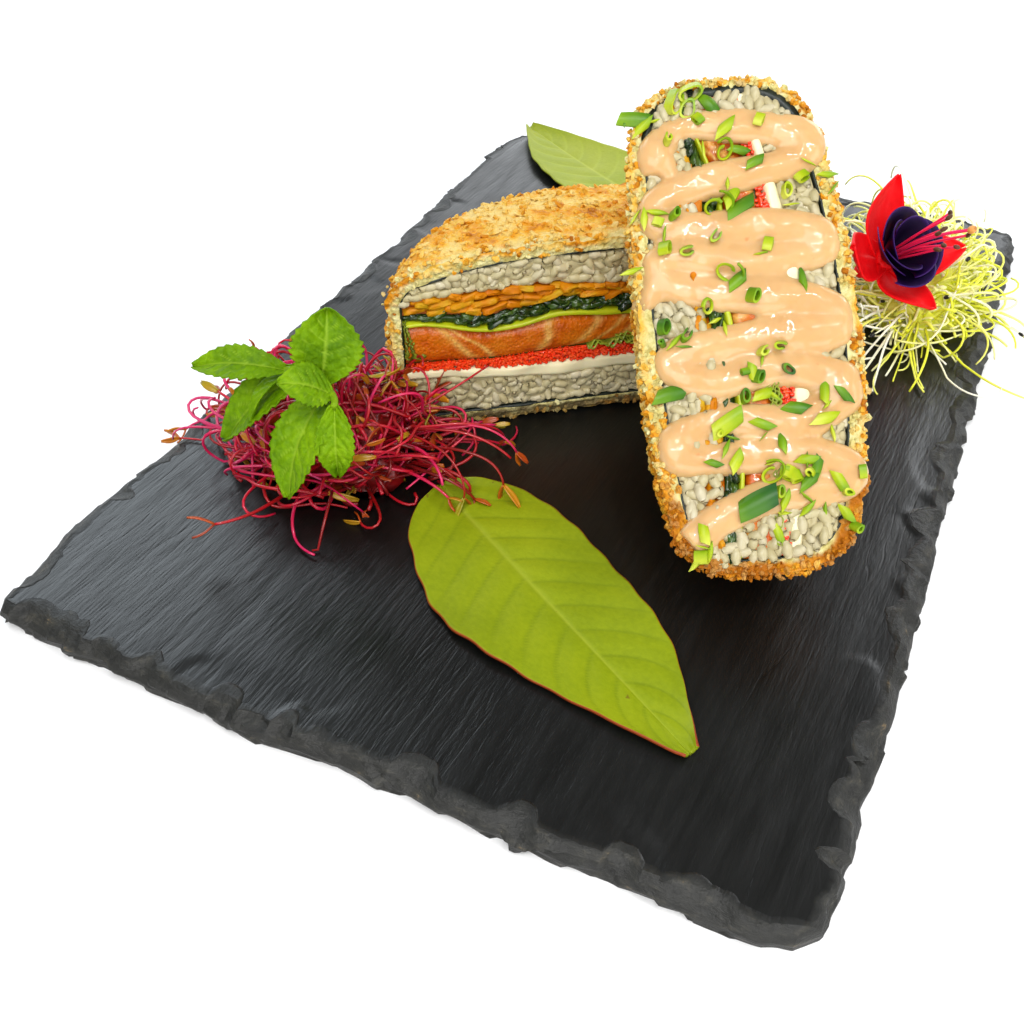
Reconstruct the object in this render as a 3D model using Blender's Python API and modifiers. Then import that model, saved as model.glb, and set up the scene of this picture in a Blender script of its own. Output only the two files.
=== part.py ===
# A breaded sushi burger, cut in half and plated on a slate board with leaves, sprouts,
# a sprig of mint and a fuchsia flower. Metres, +Z up. The origin is the centre of the
# board's underside and +Y runs along its long side. One half lies flat with its cut face
# toward -Y, the other leans against its top edge with its cut face up.
import math

import bmesh
import bpy
from mathutils import Matrix, Vector, noise

mm = 0.001
gap = 0.3 * mm

# Board
boardWidth = 200 * mm
boardLength = 300 * mm
boardThickness = 6 * mm
boardFlare = 4.5 * mm
boardRimPoints = 100
rimWaves = 60       # uneven edge: turns of the slow and the fine noise per metre
rimChips = 190
cornerStart = 1.955    # corners are cut back where |x| / half width + |y| / half length passes this
cornerCut = 0.30

# Burger: a disc of rice and fillings in a seaweed sheet and a crumb crust
burgerRadius = 59.7 * mm
backTaper = 0.25     # how much narrower the top of the back is than the cut face
taperStart = 0.4     # share of the height where that narrowing begins
crustThickness = 3.5 * mm
noriThickness = 0.55 * mm
turnSteps = 28
layerStations = 9

# Heights of the layer boundaries over the burger's underside, from the left end of the
# lying half's cut face to the right end, at these distances from its middle
stations = [-50 * mm, -30 * mm, -12 * mm, 5 * mm, 25 * mm, 50 * mm]
boundaries = {
    "riceTop": [90, 90, 90, 90, 90, 90],
    "crispsTop": [43.2, 43.9, 43.6, 42.2, 42.8, 42.0],
    "seaweedTop": [37.8, 35.4, 38.0, 37.2, 36.8, 37.4],
    "avocadoTop": [36.1, 32.1, 34.9, 33.6, 33.2, 34.4],
    "salmonTop": [34.5, 30.2, 32.7, 31.2, 31.0, 32.6],
    "lettuceTop": [23.8, 22.4, 23.5, 25.9, 24.6, 24.0],
    "roeTop": [22.3, 21.0, 21.9, 21.8, 21.7, 22.4],
    "creamTop": [20.9, 19.3, 18.9, 18.8, 19.1, 20.4],
    "riceBottomTop": [18.2, 15.9, 14.4, 15.0, 15.1, 17.2],
    "riceBottomEnd": [-20, -20, -20, -20, -20, -20],
}
layerOrder = [
    ("rice_top", "riceTop", "crispsTop", (0.86, 0.83, 0.76), 0.4),
    ("crisps", "crispsTop", "seaweedTop", (0.79, 0.42, 0.09), 0.5),
    ("seaweed", "seaweedTop", "avocadoTop", (0.05, 0.16, 0.08), 0.25),
    ("avocado", "avocadoTop", "salmonTop", (0.45, 0.52, 0.08), 0.35),
    ("salmon", "salmonTop", "lettuceTop", (0.75, 0.25, 0.08), 0.3),
    ("lettuce", "lettuceTop", "roeTop", (0.22, 0.38, 0.08), 0.45),
    ("roe", "roeTop", "creamTop", (0.82, 0.07, 0.03), 0.2),
    ("cream", "creamTop", "riceBottomTop", (0.9, 0.86, 0.8), 0.4),
    ("rice_bottom", "riceBottomTop", "riceBottomEnd", (0.86, 0.83, 0.76), 0.4),
]
lyingShape = {"height": 56 * mm, "depth": 54 * mm, "topDome": 7.8 * mm, "bottomDome": 0.0,
              "domePower": 3.5, "topCorner": 10 * mm, "bottomCorner": 12.3 * mm, "skew": 0.0}
leaningShape = {"height": 52 * mm, "depth": 48 * mm, "topDome": 4.3 * mm, "bottomDome": 8.0 * mm,
                "domePower": 2.0, "topCorner": 16 * mm, "bottomCorner": 18 * mm, "skew": 0.22}

# Where the halves are: the lying one by the foot of its cut face's middle line and its turn,
# the leaning one by the middle of its cut face and the ways along and up that face
lyingPlace = Vector((1.7, -15.6, 6.3)) * mm
lyingTurn = math.radians(37.0)
leaningMiddle = Vector((46.7, -40.8, 63.5)) * mm
leaningAlong = Vector((-0.402, 0.642, 0.653))
leaningUp = Vector((-0.880, -0.467, -0.082))

# Sauce: its route over the leaning half's cut face, along it and up from the underside
sauceRoute = [
    (39, 45), (44, 46), (48, 41), (47, 25), (45, 12), (40, 6), (37, 11), (36, 27), (33, 38),
    (29, 48), (25, 47), (23, 35), (22, 18), (19, 7), (15, 9), (13, 25), (14, 40), (11, 50),
    (8, 49), (7, 38), (4, 20), (0, 6), (-3, 7), (-4, 20), (-4, 36), (-7, 49), (-11, 46),
    (-14, 35), (-12, 21), (-16, 7), (-20, 7), (-25, 17), (-22, 34), (-26, 49), (-31, 49),
    (-32, 38), (-32, 20), (-37, 8), (-41, 12), (-42, 27), (-45, 38), (-51, 46),
]
sauceWidth = 9.0 * mm
sauceThickness = 3.2 * mm
sauceKnots = 118

# Leaves: half widths in mm at shares of the length, from the stalk to the tip
leafLength = 103 * mm
leafTurn = math.radians(-31.05)    # of the front leaf; the back one points the other way
frontLeafTip = (66, -121)
backLeafTip = (-95, 150)
leafThickness = 0.8 * mm
leafRight = [(0, 1.5), (0.04, 10), (0.13, 17.8), (0.35, 24.6), (0.53, 22.2), (0.82, 10.8), (0.96, 4), (1, 2)]
leafLeft = [(0, 1.5), (0.05, 11.2), (0.17, 18.6), (0.44, 20.3), (0.73, 16.6), (0.9, 8), (1, 2.2)]

# Sprout heaps: middle, half length, half width, height, turn and lumpiness
beetHeap = {"middle": (-56, -68), "size": (33, 25, 27), "turn": 12, "lump": 0.16, "seed": 3}
leekHeap = {"middle": (76, 84), "size": (25, 37, 27), "turn": 4, "lump": 0.14, "seed": 8}

# Mint: base, tip, width and the way the upper side looks, for each leaf
mintStem = [(-53, -88, 49), (-49, -84, 48), (-43, -86, 47), (-37, -91, 48), (-35, -94, 48)]
mintLeaves = [
    ((-44, -85.4, 47.2), (-45, -78, 63), 17, (0.6, -0.7, 0.3)),
    ((-52.5, -87.6, 49), (-73, -97, 50), 9, (0.1, -0.5, 0.9)),
    ((-51, -86, 48.5), (-57, -99, 40), 6, (-0.6, -0.5, 0.6)),
    ((-48, -84, 47.9), (-66, -99, 31), 12, (-0.3, -0.7, 0.7)),
    ((-38.4, -89.8, 47.7), (-47, -98, 54), 12, (0.2, -0.3, 0.9)),
    ((-41, -87.6, 47.2), (-43, -107, 27), 14, (-0.1, -0.8, 0.5)),
    ((-35.6, -93, 48), (-33, -99, 31), 9, (0.4, -0.7, 0.5)),
]
mintThickness = 0.9 * mm

# Flower: its middle, the way it looks and the way its topmost sepal points
flowerMiddle = Vector((66, 60.5, 32.3)) * mm
flowerLook = Vector((0.60, -0.36, 0.715))
flowerTop = Vector((-0.45, 0.60, 0.66))
flowerRoom = [(0, 40), (24, 40), (24, 4), (4.2, -4), (4.2, -20), (0, -20)]   # mm, kept free of sprouts
sepalLength = 21 * mm
sepalWidth = 15 * mm
corollaRadius = 11 * mm
pistilLength = 30 * mm


def clearScene():
    for thing in list(bpy.data.objects):
        bpy.data.objects.remove(thing, do_unlink=True)


def newCollection(name):
    made = bpy.data.collections.new(name)
    bpy.context.scene.collection.children.link(made)
    return made


def newMaterial(name, colour, roughness):
    made = bpy.data.materials.new(name)
    made.use_nodes = True
    shader = made.node_tree.nodes["Principled BSDF"]
    shader.inputs["Base Color"].default_value = (*colour, 1.0)
    shader.inputs["Roughness"].default_value = roughness
    shader.inputs["Metallic"].default_value = 0.0
    return made


def newObject(name, mesh, collection, parent=None):
    made = bpy.data.objects.new(name, mesh)
    collection.objects.link(made)
    made.parent = parent
    return made


def finish(piece, colour, roughness, smooth=True):
    piece.data.materials.clear()
    piece.data.materials.append(newMaterial(piece.name, colour, roughness))
    if smooth:
        piece.data.shade_smooth()
        piece.data.set_sharp_from_angle(angle=math.radians(40))


def asCutter(piece):
    piece.hide_render = True
    piece.display_type = "WIRE"
    return piece


def boolean(piece, other, operation):
    step = piece.modifiers.new(other.name, "BOOLEAN")
    step.operation = operation
    step.object = other
    step.solver = "EXACT"


def bake(piece):
    # replaces the piece's mesh with what its modifiers make of it
    bpy.context.view_layer.update()
    evaluated = piece.evaluated_get(bpy.context.evaluated_depsgraph_get())
    baked = bpy.data.meshes.new_from_object(evaluated)
    piece.modifiers.clear()
    piece.data = baked
    return piece


def bakeCurve(name, curve, collection, parent=None):
    # turns a curve into a closed mesh in the same place
    holder = bpy.data.objects.new(name + "_curve", curve)
    bpy.context.scene.collection.objects.link(holder)
    bpy.context.view_layer.update()
    mesh = bpy.data.meshes.new_from_object(holder.evaluated_get(bpy.context.evaluated_depsgraph_get()))
    bpy.data.objects.remove(holder)
    weld(mesh)
    return newObject(name, mesh, collection, parent)


def weld(mesh):
    work = bmesh.new()
    work.from_mesh(mesh)
    bmesh.ops.remove_doubles(work, verts=work.verts, dist=0.00001)
    bmesh.ops.recalc_face_normals(work, faces=work.faces)
    work.to_mesh(mesh)
    work.free()


def smoothThrough(points, count):
    # count points on a Catmull-Rom curve through the given ones
    points = [Vector(p) for p in points]
    ends = [2 * points[0] - points[1]] + points + [2 * points[-1] - points[-2]]
    made = []
    for index in range(count):
        place = index / (count - 1) * (len(points) - 1)
        first = min(int(place), len(points) - 2)
        t = place - first
        a, b, c, d = ends[first:first + 4]
        made.append(0.5 * (2 * b + (c - a) * t + (2 * a - 5 * b + 4 * c - d) * t * t
                           + (3 * b - a - 3 * c + d) * t * t * t))
    return made


def valueAt(table, x):
    # straight interpolation in a list of (place, value) pairs
    for (x0, y0), (x1, y1) in zip(table, table[1:]):
        if x <= x1:
            share = max(0.0, (x - x0) / (x1 - x0))
            return y0 + (y1 - y0) * share
    return table[-1][1]


def box(name, low, high, collection, parent=None):
    work = bmesh.new()
    bmesh.ops.create_cube(work, size=1.0)
    for vert in work.verts:
        vert.co = Vector([low[i] + (high[i] - low[i]) * (vert.co[i] + 0.5) for i in range(3)])
    mesh = bpy.data.meshes.new(name)
    work.to_mesh(mesh)
    work.free()
    return newObject(name, mesh, collection, parent)


def loft(name, rings, collection, parent=None):
    # closed body through rings of equal count, from the lowest to the highest
    work = bmesh.new()
    rows = [[work.verts.new(point) for point in ring] for ring in rings]
    count = len(rings[0])
    for lower, upper in zip(rows, rows[1:]):
        for i in range(count):
            j = (i + 1) % count
            work.faces.new((lower[i], lower[j], upper[j], upper[i]))
    work.faces.new(list(reversed(rows[0])))
    work.faces.new(rows[-1])
    bmesh.ops.recalc_face_normals(work, faces=work.faces)
    mesh = bpy.data.meshes.new(name)
    work.to_mesh(mesh)
    work.free()
    return newObject(name, mesh, collection, parent)


# Board

def boardRim(count):
    # evenly spaced points on the board's outline, with the way out at each of them
    halfX, halfY = boardWidth / 2, boardLength / 2
    corners = [(-halfX, -halfY), (halfX, -halfY), (halfX, halfY), (-halfX, halfY)]
    perimeter = 2 * (boardWidth + boardLength)
    made = []
    for index in range(count):
        rest = (index + 0.5) / count * perimeter
        for side in range(4):
            start, end = Vector(corners[side]), Vector(corners[(side + 1) % 4])
            length = (end - start).length
            if rest <= length:
                along = (end - start) / length
                made.append((start + along * rest, Vector((along.y, -along.x))))
                break
            rest -= length
    return made


def boardRing(height, spread, roughness, seed):
    ring = []
    for point, out in boardRim(boardRimPoints):
        shake = noise.noise(Vector((point.x * rimWaves, point.y * rimWaves, seed))) * roughness
        fine = noise.noise(Vector((point.x * rimChips, point.y * rimChips, seed + 5))) * roughness * 0.6
        moved = point + out * (spread + shake + fine)
        corner = max(0.0, abs(moved.x) / (boardWidth / 2) + abs(moved.y) / (boardLength / 2) - cornerStart)
        moved *= 1 - cornerCut * corner
        ring.append(Vector((moved.x, moved.y, height)))
    return ring


def makeBoard(collection):
    rings = [
        boardRing(0.0, boardFlare * 0.55, 1.6 * mm, 1),
        boardRing(boardThickness * 0.45, boardFlare * 0.75, 2.2 * mm, 2),
        boardRing(boardThickness * 0.8, boardFlare * 0.2, 2.2 * mm, 3),
        boardRing(boardThickness, -0.5 * mm, 2.0 * mm, 4),
    ]
    board = loft("slate_board", rings, collection)
    finish(board, (0.03, 0.033, 0.037), 0.45, smooth=False)


# Burger halves, each built with its cut face on y = 0 and its food at y > 0

def burgerProfile(shape, inset):
    # from the middle of the top, down the outer side, to the middle of the underside
    radius = burgerRadius - inset
    topCorner = max(shape["topCorner"] - inset, 2 * mm)
    bottomCorner = max(shape["bottomCorner"] - inset, 2 * mm)

    def topAt(r):
        return shape["height"] - inset - shape["topDome"] * (r / radius) ** shape["domePower"]

    def bottomAt(r):
        return inset + shape["bottomDome"] * (r / radius) ** shape["domePower"]

    points = [(0, topAt(0)), (radius * 0.45, topAt(radius * 0.45)), (radius * 0.66, topAt(radius * 0.66))]
    across = radius - topCorner
    middle = topAt(across) - topCorner
    for angle in (90, 60, 30, 0):
        turn = math.radians(angle)
        points.append((across + topCorner * math.cos(turn), middle + topCorner * math.sin(turn)))
    across = radius - bottomCorner
    middle = bottomAt(across) + bottomCorner
    for angle in (0, -30, -60, -90):
        turn = math.radians(angle)
        points.append((across + bottomCorner * math.cos(turn), middle + bottomCorner * math.sin(turn)))
    points.append((radius * 0.45, bottomAt(radius * 0.45)))
    points.append((0, bottomAt(0)))
    return points


def turned(name, profile, collection, parent):
    mesh = bpy.data.meshes.new(name)
    edges = [(i, i + 1) for i in range(len(profile) - 1)]
    half = math.pi / turnSteps
    mesh.from_pydata([(r * math.cos(half), r * math.sin(half), z) for r, z in profile], edges, [])
    piece = newObject(name, mesh, collection, parent)
    screw = piece.modifiers.new("turn", "SCREW")
    screw.axis = "Z"
    screw.angle = 2 * math.pi
    screw.steps = turnSteps
    screw.render_steps = turnSteps
    screw.use_merge_vertices = True
    screw.merge_threshold = 0.00001
    bake(piece)
    weld(piece.data)
    return piece


def turnedBurger(name, shape, inset, collection, parent):
    # turned round, then narrowed toward the back, its upper part most
    piece = turned(name, burgerProfile(shape, inset), collection, parent)
    for vert in piece.data.vertices:
        x, y, z = vert.co
        away = abs(y) / max(math.hypot(x, y), mm)
        high = max(0.0, (z / shape["height"] - taperStart) / (1 - taperStart))
        narrow = 1 - backTaper * away ** 0.7 * high ** 1.5
        deep = shape["depth"] / burgerRadius * (1 - shape["skew"] * x / burgerRadius)
        vert.co = (x * narrow, y * narrow * deep, z)
    return piece


def boundaryHeight(name, x, mirrored, shape):
    table = [(place, height * mm) for place, height in zip(stations, boundaries[name])]
    height = valueAt(table, -x if mirrored else x)
    lift = shape["bottomDome"] * (x / burgerRadius) ** 2
    height *= shape["height"] / lyingShape["height"]
    return height + lift * (1 - height / shape["height"])


def makeLayer(name, upper, lower, mirrored, shape, collection, parent):
    reach = burgerRadius * 1.1
    places = [reach * (2 * i / (layerStations - 1) - 1) for i in range(layerStations)]
    top = [(x, boundaryHeight(upper, x, mirrored, shape) - gap / 2) for x in places]
    low = [(x, boundaryHeight(lower, x, mirrored, shape) + gap / 2) for x in places]
    curve = bpy.data.curves.new(name, "CURVE")
    curve.dimensions = "2D"
    curve.fill_mode = "BOTH"
    curve.extrude = reach / 2
    outline = curve.splines.new("POLY")
    points = low + list(reversed(top))
    outline.points.add(len(points) - 1)
    for knot, (x, z) in zip(outline.points, points):
        knot.co = (x, z, 0, 1)
    outline.use_cyclic_u = True
    piece = bakeCurve(name, curve, collection, parent)
    piece.data.transform(Matrix.Translation((0, reach / 2, 0)) @ Matrix.Rotation(math.pi / 2, 4, "X"))
    weld(piece.data)
    return piece


def makeHalf(prefix, shape, matrix, mirrored, parts, cutters):
    holder = bpy.data.objects.new(prefix + "_half", None)
    parts.objects.link(holder)
    holder.matrix_world = matrix
    far = 2 * burgerRadius
    front = asCutter(box(prefix + "_front", (-far, -far, -far), (far, 0, far), cutters, holder))
    noriInset = crustThickness + gap
    insideInset = noriInset + noriThickness
    core = asCutter(turnedBurger(prefix + "_core", shape, crustThickness, cutters, holder))
    inside = asCutter(turnedBurger(prefix + "_inside", shape, insideInset, cutters, holder))
    filling = asCutter(turnedBurger(prefix + "_filling", shape, insideInset + gap, cutters, holder))

    crust = turnedBurger(prefix + "_crust", shape, 0, parts, holder)
    boolean(crust, core, "DIFFERENCE")
    boolean(crust, front, "DIFFERENCE")
    finish(crust, (0.76, 0.5, 0.16), 0.75)

    nori = turnedBurger(prefix + "_nori", shape, noriInset, parts, holder)
    boolean(nori, inside, "DIFFERENCE")
    boolean(nori, front, "DIFFERENCE")
    finish(nori, (0.012, 0.02, 0.014), 0.5)

    for suffix, upper, lower, colour, roughness in layerOrder:
        layer = makeLayer(prefix + "_" + suffix, upper, lower, mirrored, shape, parts, holder)
        boolean(layer, filling, "INTERSECT")
        finish(layer, colour, roughness)
    return holder


def leaningMatrix():
    along = leaningAlong.normalized()
    up = (leaningUp - leaningUp.dot(along) * along).normalized()
    inward = up.cross(along)
    middle = leaningMiddle - up * (leaningShape["height"] / 2)
    turn = Matrix((along, inward, up)).transposed().to_4x4()
    return Matrix.Translation(middle) @ turn


def makeSauce(collection, cutters, parent):
    route = smoothThrough([(x * mm, z * mm, 0) for x, z in sauceRoute], sauceKnots)
    curve = bpy.data.curves.new("leaning_sauce", "CURVE")
    curve.dimensions = "3D"
    curve.bevel_depth = sauceWidth / 2
    curve.bevel_resolution = 2
    curve.use_fill_caps = True
    line = curve.splines.new("POLY")
    line.points.add(len(route) - 1)
    for knot, point in zip(line.points, route):
        knot.co = (point.x, 0, point.y, 1)
    sauce = bakeCurve("leaning_sauce", curve, collection, parent)
    sauce.data.transform(Matrix.Diagonal((1, 2 * sauceThickness / sauceWidth, 1, 1)))
    remesh = sauce.modifiers.new("merge", "REMESH")
    remesh.mode = "VOXEL"
    remesh.voxel_size = 1.5 * mm
    thin = sauce.modifiers.new("thin", "DECIMATE")
    thin.ratio = 0.1
    behind = asCutter(box("sauce_behind", (-0.1, -gap, -0.1), (0.1, 0.1, 0.2), cutters, parent))
    boolean(sauce, behind, "DIFFERENCE")
    finish(sauce, (0.95, 0.72, 0.42), 0.25)


# Leaves and sepals: a flat grid shaped by a formula, then given its thickness

def leafSheet(name, length, widthAt, heightAt, rows, columns, thickness, collection):
    # base at the origin, tip at +X, upper side toward +Z
    work = bmesh.new()
    bmesh.ops.create_grid(work, x_segments=rows, y_segments=columns, size=1.0)
    for vert in work.verts:
        u, v = (vert.co.x + 1) / 2, vert.co.y
        vert.co = Vector((u * length, v * widthAt(u, v), heightAt(u, v)))
    mesh = bpy.data.meshes.new(name)
    work.to_mesh(mesh)
    work.free()
    piece = newObject(name, mesh, collection)
    body = piece.modifiers.new("thickness", "SOLIDIFY")
    body.thickness = thickness
    body.offset = 1.0
    return piece


def bigLeafWidth(u, v):
    return valueAt(leafRight if v < 0 else leafLeft, u) * mm


def makeBigLeaf(name, tip, turn, heightAt, colour, collection):
    # a flat amaranth leaf whose tip is at the given place
    leaf = leafSheet(name, leafLength, bigLeafWidth, heightAt, 14, 4, leafThickness, collection)
    base = Vector(tip) * mm - leafLength * Vector((math.cos(turn), math.sin(turn)))
    leaf.location = (base.x, base.y, boardThickness + gap)
    leaf.rotation_euler = (0, 0, turn)
    finish(leaf, colour, 0.5)


def frontLeafHeight(u, v):
    return (0.5 * v * v + 0.6 * math.sin(9 * u) ** 2 * abs(v) + 8 * max(0.0, 0.12 - u)) * mm


def backLeafHeight(u, v):
    return (1.4 * v * v + 6.0 * max(0.0, u - 0.6) ** 1.5 + 0.4) * mm


def facing(base, tip, upper):
    # a frame at the base with +X toward the tip and +Z as near to the upper side as it can be
    along = (tip - base).normalized()
    side = upper.cross(along).normalized()
    top = along.cross(side)
    return Matrix.Translation(base) @ Matrix((along, side, top)).transposed().to_4x4()


def bladeWidth(width):
    def widthAt(u, v):
        return width / 2 * max(0.12, math.sin(math.pi * min(1.0, u * 0.93 + 0.05)) ** 0.7)
    return widthAt


def makeMint(collection, cutters):
    curve = bpy.data.curves.new("mint_stem", "CURVE")
    curve.dimensions = "3D"
    curve.bevel_depth = 1.0 * mm
    curve.bevel_resolution = 1
    curve.use_fill_caps = True
    route = smoothThrough([Vector(p) * mm for p in mintStem], 9)
    line = curve.splines.new("POLY")
    line.points.add(len(route) - 1)
    for knot, point in zip(line.points, route):
        knot.co = (*point, 1)
    sprig = bakeCurve("mint_sprig", curve, collection)
    for index, (base, tip, width, upper) in enumerate(mintLeaves):
        base, tip = Vector(base) * mm, Vector(tip) * mm
        length = (tip - base).length

        def bow(u, v, length=length):
            return 0.12 * length * math.sin(math.pi * u) + 0.04 * length * v * v

        blade = leafSheet("mint_leaf_%d" % index, length, bladeWidth(width * mm), bow, 6, 2,
                          mintThickness, cutters)
        blade.matrix_world = facing(base, tip, Vector(upper))
        boolean(sprig, asCutter(blade), "UNION")
    bake(sprig)
    finish(sprig, (0.2, 0.55, 0.03), 0.45)


def makeHeap(name, heap, colour, collection, cutters):
    # a lumpy mound of fine sprouts, out to their uneven outline
    work = bmesh.new()
    bmesh.ops.create_icosphere(work, subdivisions=3, radius=1.0)
    for vert in work.verts:
        lump = noise.noise(vert.co * 2.1 + Vector((heap["seed"], 0, 0))) * heap["lump"] * 1.6
        fine = noise.noise(vert.co * 5.0 + Vector((0, heap["seed"], 0))) * heap["lump"] * 0.8
        vert.co *= 1 + lump + fine
    mesh = bpy.data.meshes.new(name)
    work.to_mesh(mesh)
    work.free()
    mesh.transform(Matrix.Diagonal((*(Vector(heap["size"]) * mm), 1)))
    piece = newObject(name, mesh, collection)
    piece.location = (heap["middle"][0] * mm, heap["middle"][1] * mm, boardThickness + gap)
    piece.rotation_euler = (0, 0, math.radians(heap["turn"]))
    for other in cutters:
        boolean(piece, other, "DIFFERENCE")
    finish(piece, colour, 0.6)


def makeSepals(matrix, collection, cutters):
    # a short tube with an ovary and a stalk behind, and four sepals around its mouth
    profile = [(0, -0.5 * mm), (2.6 * mm, -0.5 * mm), (3.2 * mm, -2 * mm), (2.0 * mm, -8 * mm),
               (2.6 * mm, -11 * mm), (1.2 * mm, -14 * mm), (0.8 * mm, -19 * mm), (0, -19 * mm)]
    tube = turned("flower_sepals", profile, collection, None)
    tube.matrix_world = matrix
    for index in range(4):
        def bow(u, v):
            return (8.5 * u * u + 2.5 * u + 1.2 * v * v) * mm

        sepal = leafSheet("sepal_%d" % index, sepalLength, bladeWidth(sepalWidth), bow, 6, 2,
                          0.9 * mm, cutters)
        sepal.matrix_world = matrix @ Matrix.Rotation(index * math.pi / 2, 4, "Z") \
            @ Matrix.Translation((1.0 * mm, 0, -1.7 * mm))
        boolean(tube, asCutter(sepal), "UNION")
    bake(tube)
    finish(tube, (0.88, 0.01, 0.02), 0.4)


def makeCorolla(matrix, collection):
    # the folded petals as one cup, open toward its mouth
    profile = [(0, 3 * mm), (3.4 * mm, 4 * mm), (7.0 * mm, 9.5 * mm), (8.8 * mm, 12.5 * mm),
               (corollaRadius, 13.5 * mm), (corollaRadius, 10 * mm), (7.6 * mm, 5 * mm),
               (4.4 * mm, 1.6 * mm), (0, 0.3 * mm)]
    cup = turned("flower_corolla", profile, collection, None)
    cup.matrix_world = matrix
    finish(cup, (0.03, 0.006, 0.09), 0.5)


def makePistil(matrix, collection):
    profile = [(0, pistilLength), (1.3 * mm, pistilLength - 0.6 * mm), (1.5 * mm, pistilLength - 2.2 * mm),
               (0.7 * mm, pistilLength - 3.4 * mm), (0.6 * mm, 3.5 * mm + gap), (0, 3 * mm + gap)]
    rod = turned("flower_pistil", profile, collection, None)
    rod.matrix_world = matrix
    finish(rod, (0.85, 0.03, 0.15), 0.4)


def flowerMatrix():
    look = flowerLook.normalized()
    first = (flowerTop - flowerTop.dot(look) * look).normalized()
    side = look.cross(first)
    return Matrix.Translation(flowerMiddle) @ Matrix((first, side, look)).transposed().to_4x4()


def main():
    clearScene()
    parts = newCollection("sushi_burger")
    cutters = newCollection("cutters")
    makeBoard(parts)

    lyingMatrix = Matrix.Translation(lyingPlace) @ Matrix.Rotation(lyingTurn, 4, "Z")
    lying = makeHalf("lying", lyingShape, lyingMatrix, False, parts, cutters)
    leaning = makeHalf("leaning", leaningShape, leaningMatrix(), True, parts, cutters)
    makeSauce(parts, cutters, leaning)

    makeBigLeaf("leaf_front", frontLeafTip, leafTurn, frontLeafHeight, (0.36, 0.42, 0.02), parts)
    makeBigLeaf("leaf_back", backLeafTip, leafTurn + math.pi, backLeafHeight, (0.42, 0.5, 0.06), parts)

    clearance = turnedBurger("lying_clearance", lyingShape, -2 * gap, cutters, lying)
    boolean(asCutter(clearance), asCutter(box("clearance_front", (-0.2, -0.2, -0.2), (0.2, -0.6 * mm, 0.2),
                                              cutters, lying)), "DIFFERENCE")
    ground = asCutter(box("heap_ground", (-0.3, -0.3, -0.1), (0.3, 0.3, boardThickness + gap), cutters))
    makeHeap("beet_sprouts", beetHeap, (0.42, 0.01, 0.08), parts, [ground, clearance])
    flower = flowerMatrix()
    room = asCutter(turned("flower_room", [(r * mm, z * mm) for r, z in flowerRoom], cutters, None))
    room.matrix_world = flower
    makeHeap("leek_sprouts", leekHeap, (0.66, 0.74, 0.3), parts, [ground, room])
    makeMint(parts, cutters)

    makeSepals(flower, parts, cutters)
    makeCorolla(flower, parts)
    makePistil(flower, parts)


main()
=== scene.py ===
import math
import random

import bpy
import numpy as np
from mathutils import Matrix, Vector, noise
from mathutils.bvhtree import BVHTree


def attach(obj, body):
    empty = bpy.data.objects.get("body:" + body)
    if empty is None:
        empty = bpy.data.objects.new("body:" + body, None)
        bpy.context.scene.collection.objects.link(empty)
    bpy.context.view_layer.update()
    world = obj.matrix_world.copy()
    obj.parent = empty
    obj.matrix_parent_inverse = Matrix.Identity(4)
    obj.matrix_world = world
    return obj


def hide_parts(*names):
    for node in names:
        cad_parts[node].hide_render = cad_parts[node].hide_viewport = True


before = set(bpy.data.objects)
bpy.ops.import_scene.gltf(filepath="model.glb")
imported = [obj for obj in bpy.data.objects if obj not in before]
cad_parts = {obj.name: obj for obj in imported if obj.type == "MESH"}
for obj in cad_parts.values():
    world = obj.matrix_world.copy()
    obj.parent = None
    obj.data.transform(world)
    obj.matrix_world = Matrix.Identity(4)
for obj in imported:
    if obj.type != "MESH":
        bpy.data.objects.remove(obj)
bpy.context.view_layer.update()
mm = 0.001


# Materials: small helpers over the shader nodes

def newShader(name, colour, roughness, fixed=None):
    material = bpy.data.materials.new(name)
    material.use_nodes = True
    shader = material.node_tree.nodes["Principled BSDF"]
    shader.inputs["Base Color"].default_value = (*colour, 1)
    shader.inputs["Roughness"].default_value = roughness
    for socket, value in (fixed or {}).items():
        shader.inputs[socket].default_value = value
    return material, material.node_tree, shader


def addNode(tree, kind, inputs=None, **settings):
    made = tree.nodes.new("ShaderNode" + kind)
    for key, value in settings.items():
        setattr(made, key, value)
    for key, value in (inputs or {}).items():
        if isinstance(value, bpy.types.NodeSocket):
            tree.links.new(value, made.inputs[key])
        else:
            made.inputs[key].default_value = value
    return made


def whereOn(tree, stretch=(1, 1, 1), turn=0.0):
    # object coordinates in metres, squeezed and turned about Z
    coords = addNode(tree, "TexCoord")
    turned = addNode(tree, "Mapping", {"Vector": coords.outputs["Object"], "Rotation": (0, 0, turn)})
    return addNode(tree, "Mapping", {"Vector": turned.outputs[0], "Scale": stretch}).outputs[0]


def cloud(tree, where, scale, detail=3.0, rough=0.55):
    return addNode(tree, "TexNoise", {"Vector": where, "Scale": scale, "Detail": detail,
                                      "Roughness": rough}).outputs[0]


def cells(tree, where, scale, feature="F1"):
    return addNode(tree, "TexVoronoi", {"Vector": where, "Scale": scale}, feature=feature).outputs["Distance"]


def ramp(tree, value, stops):
    made = addNode(tree, "ValToRGB", {"Fac": value})
    marks = made.color_ramp.elements
    while len(marks) < len(stops):
        marks.new(0.5)
    for mark, (place, colour) in zip(marks, stops):
        mark.position = place
        mark.color = (*colour, 1) if len(colour) == 3 else colour
    return made.outputs[0]


def grey(value):
    return (value, value, value)


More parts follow.
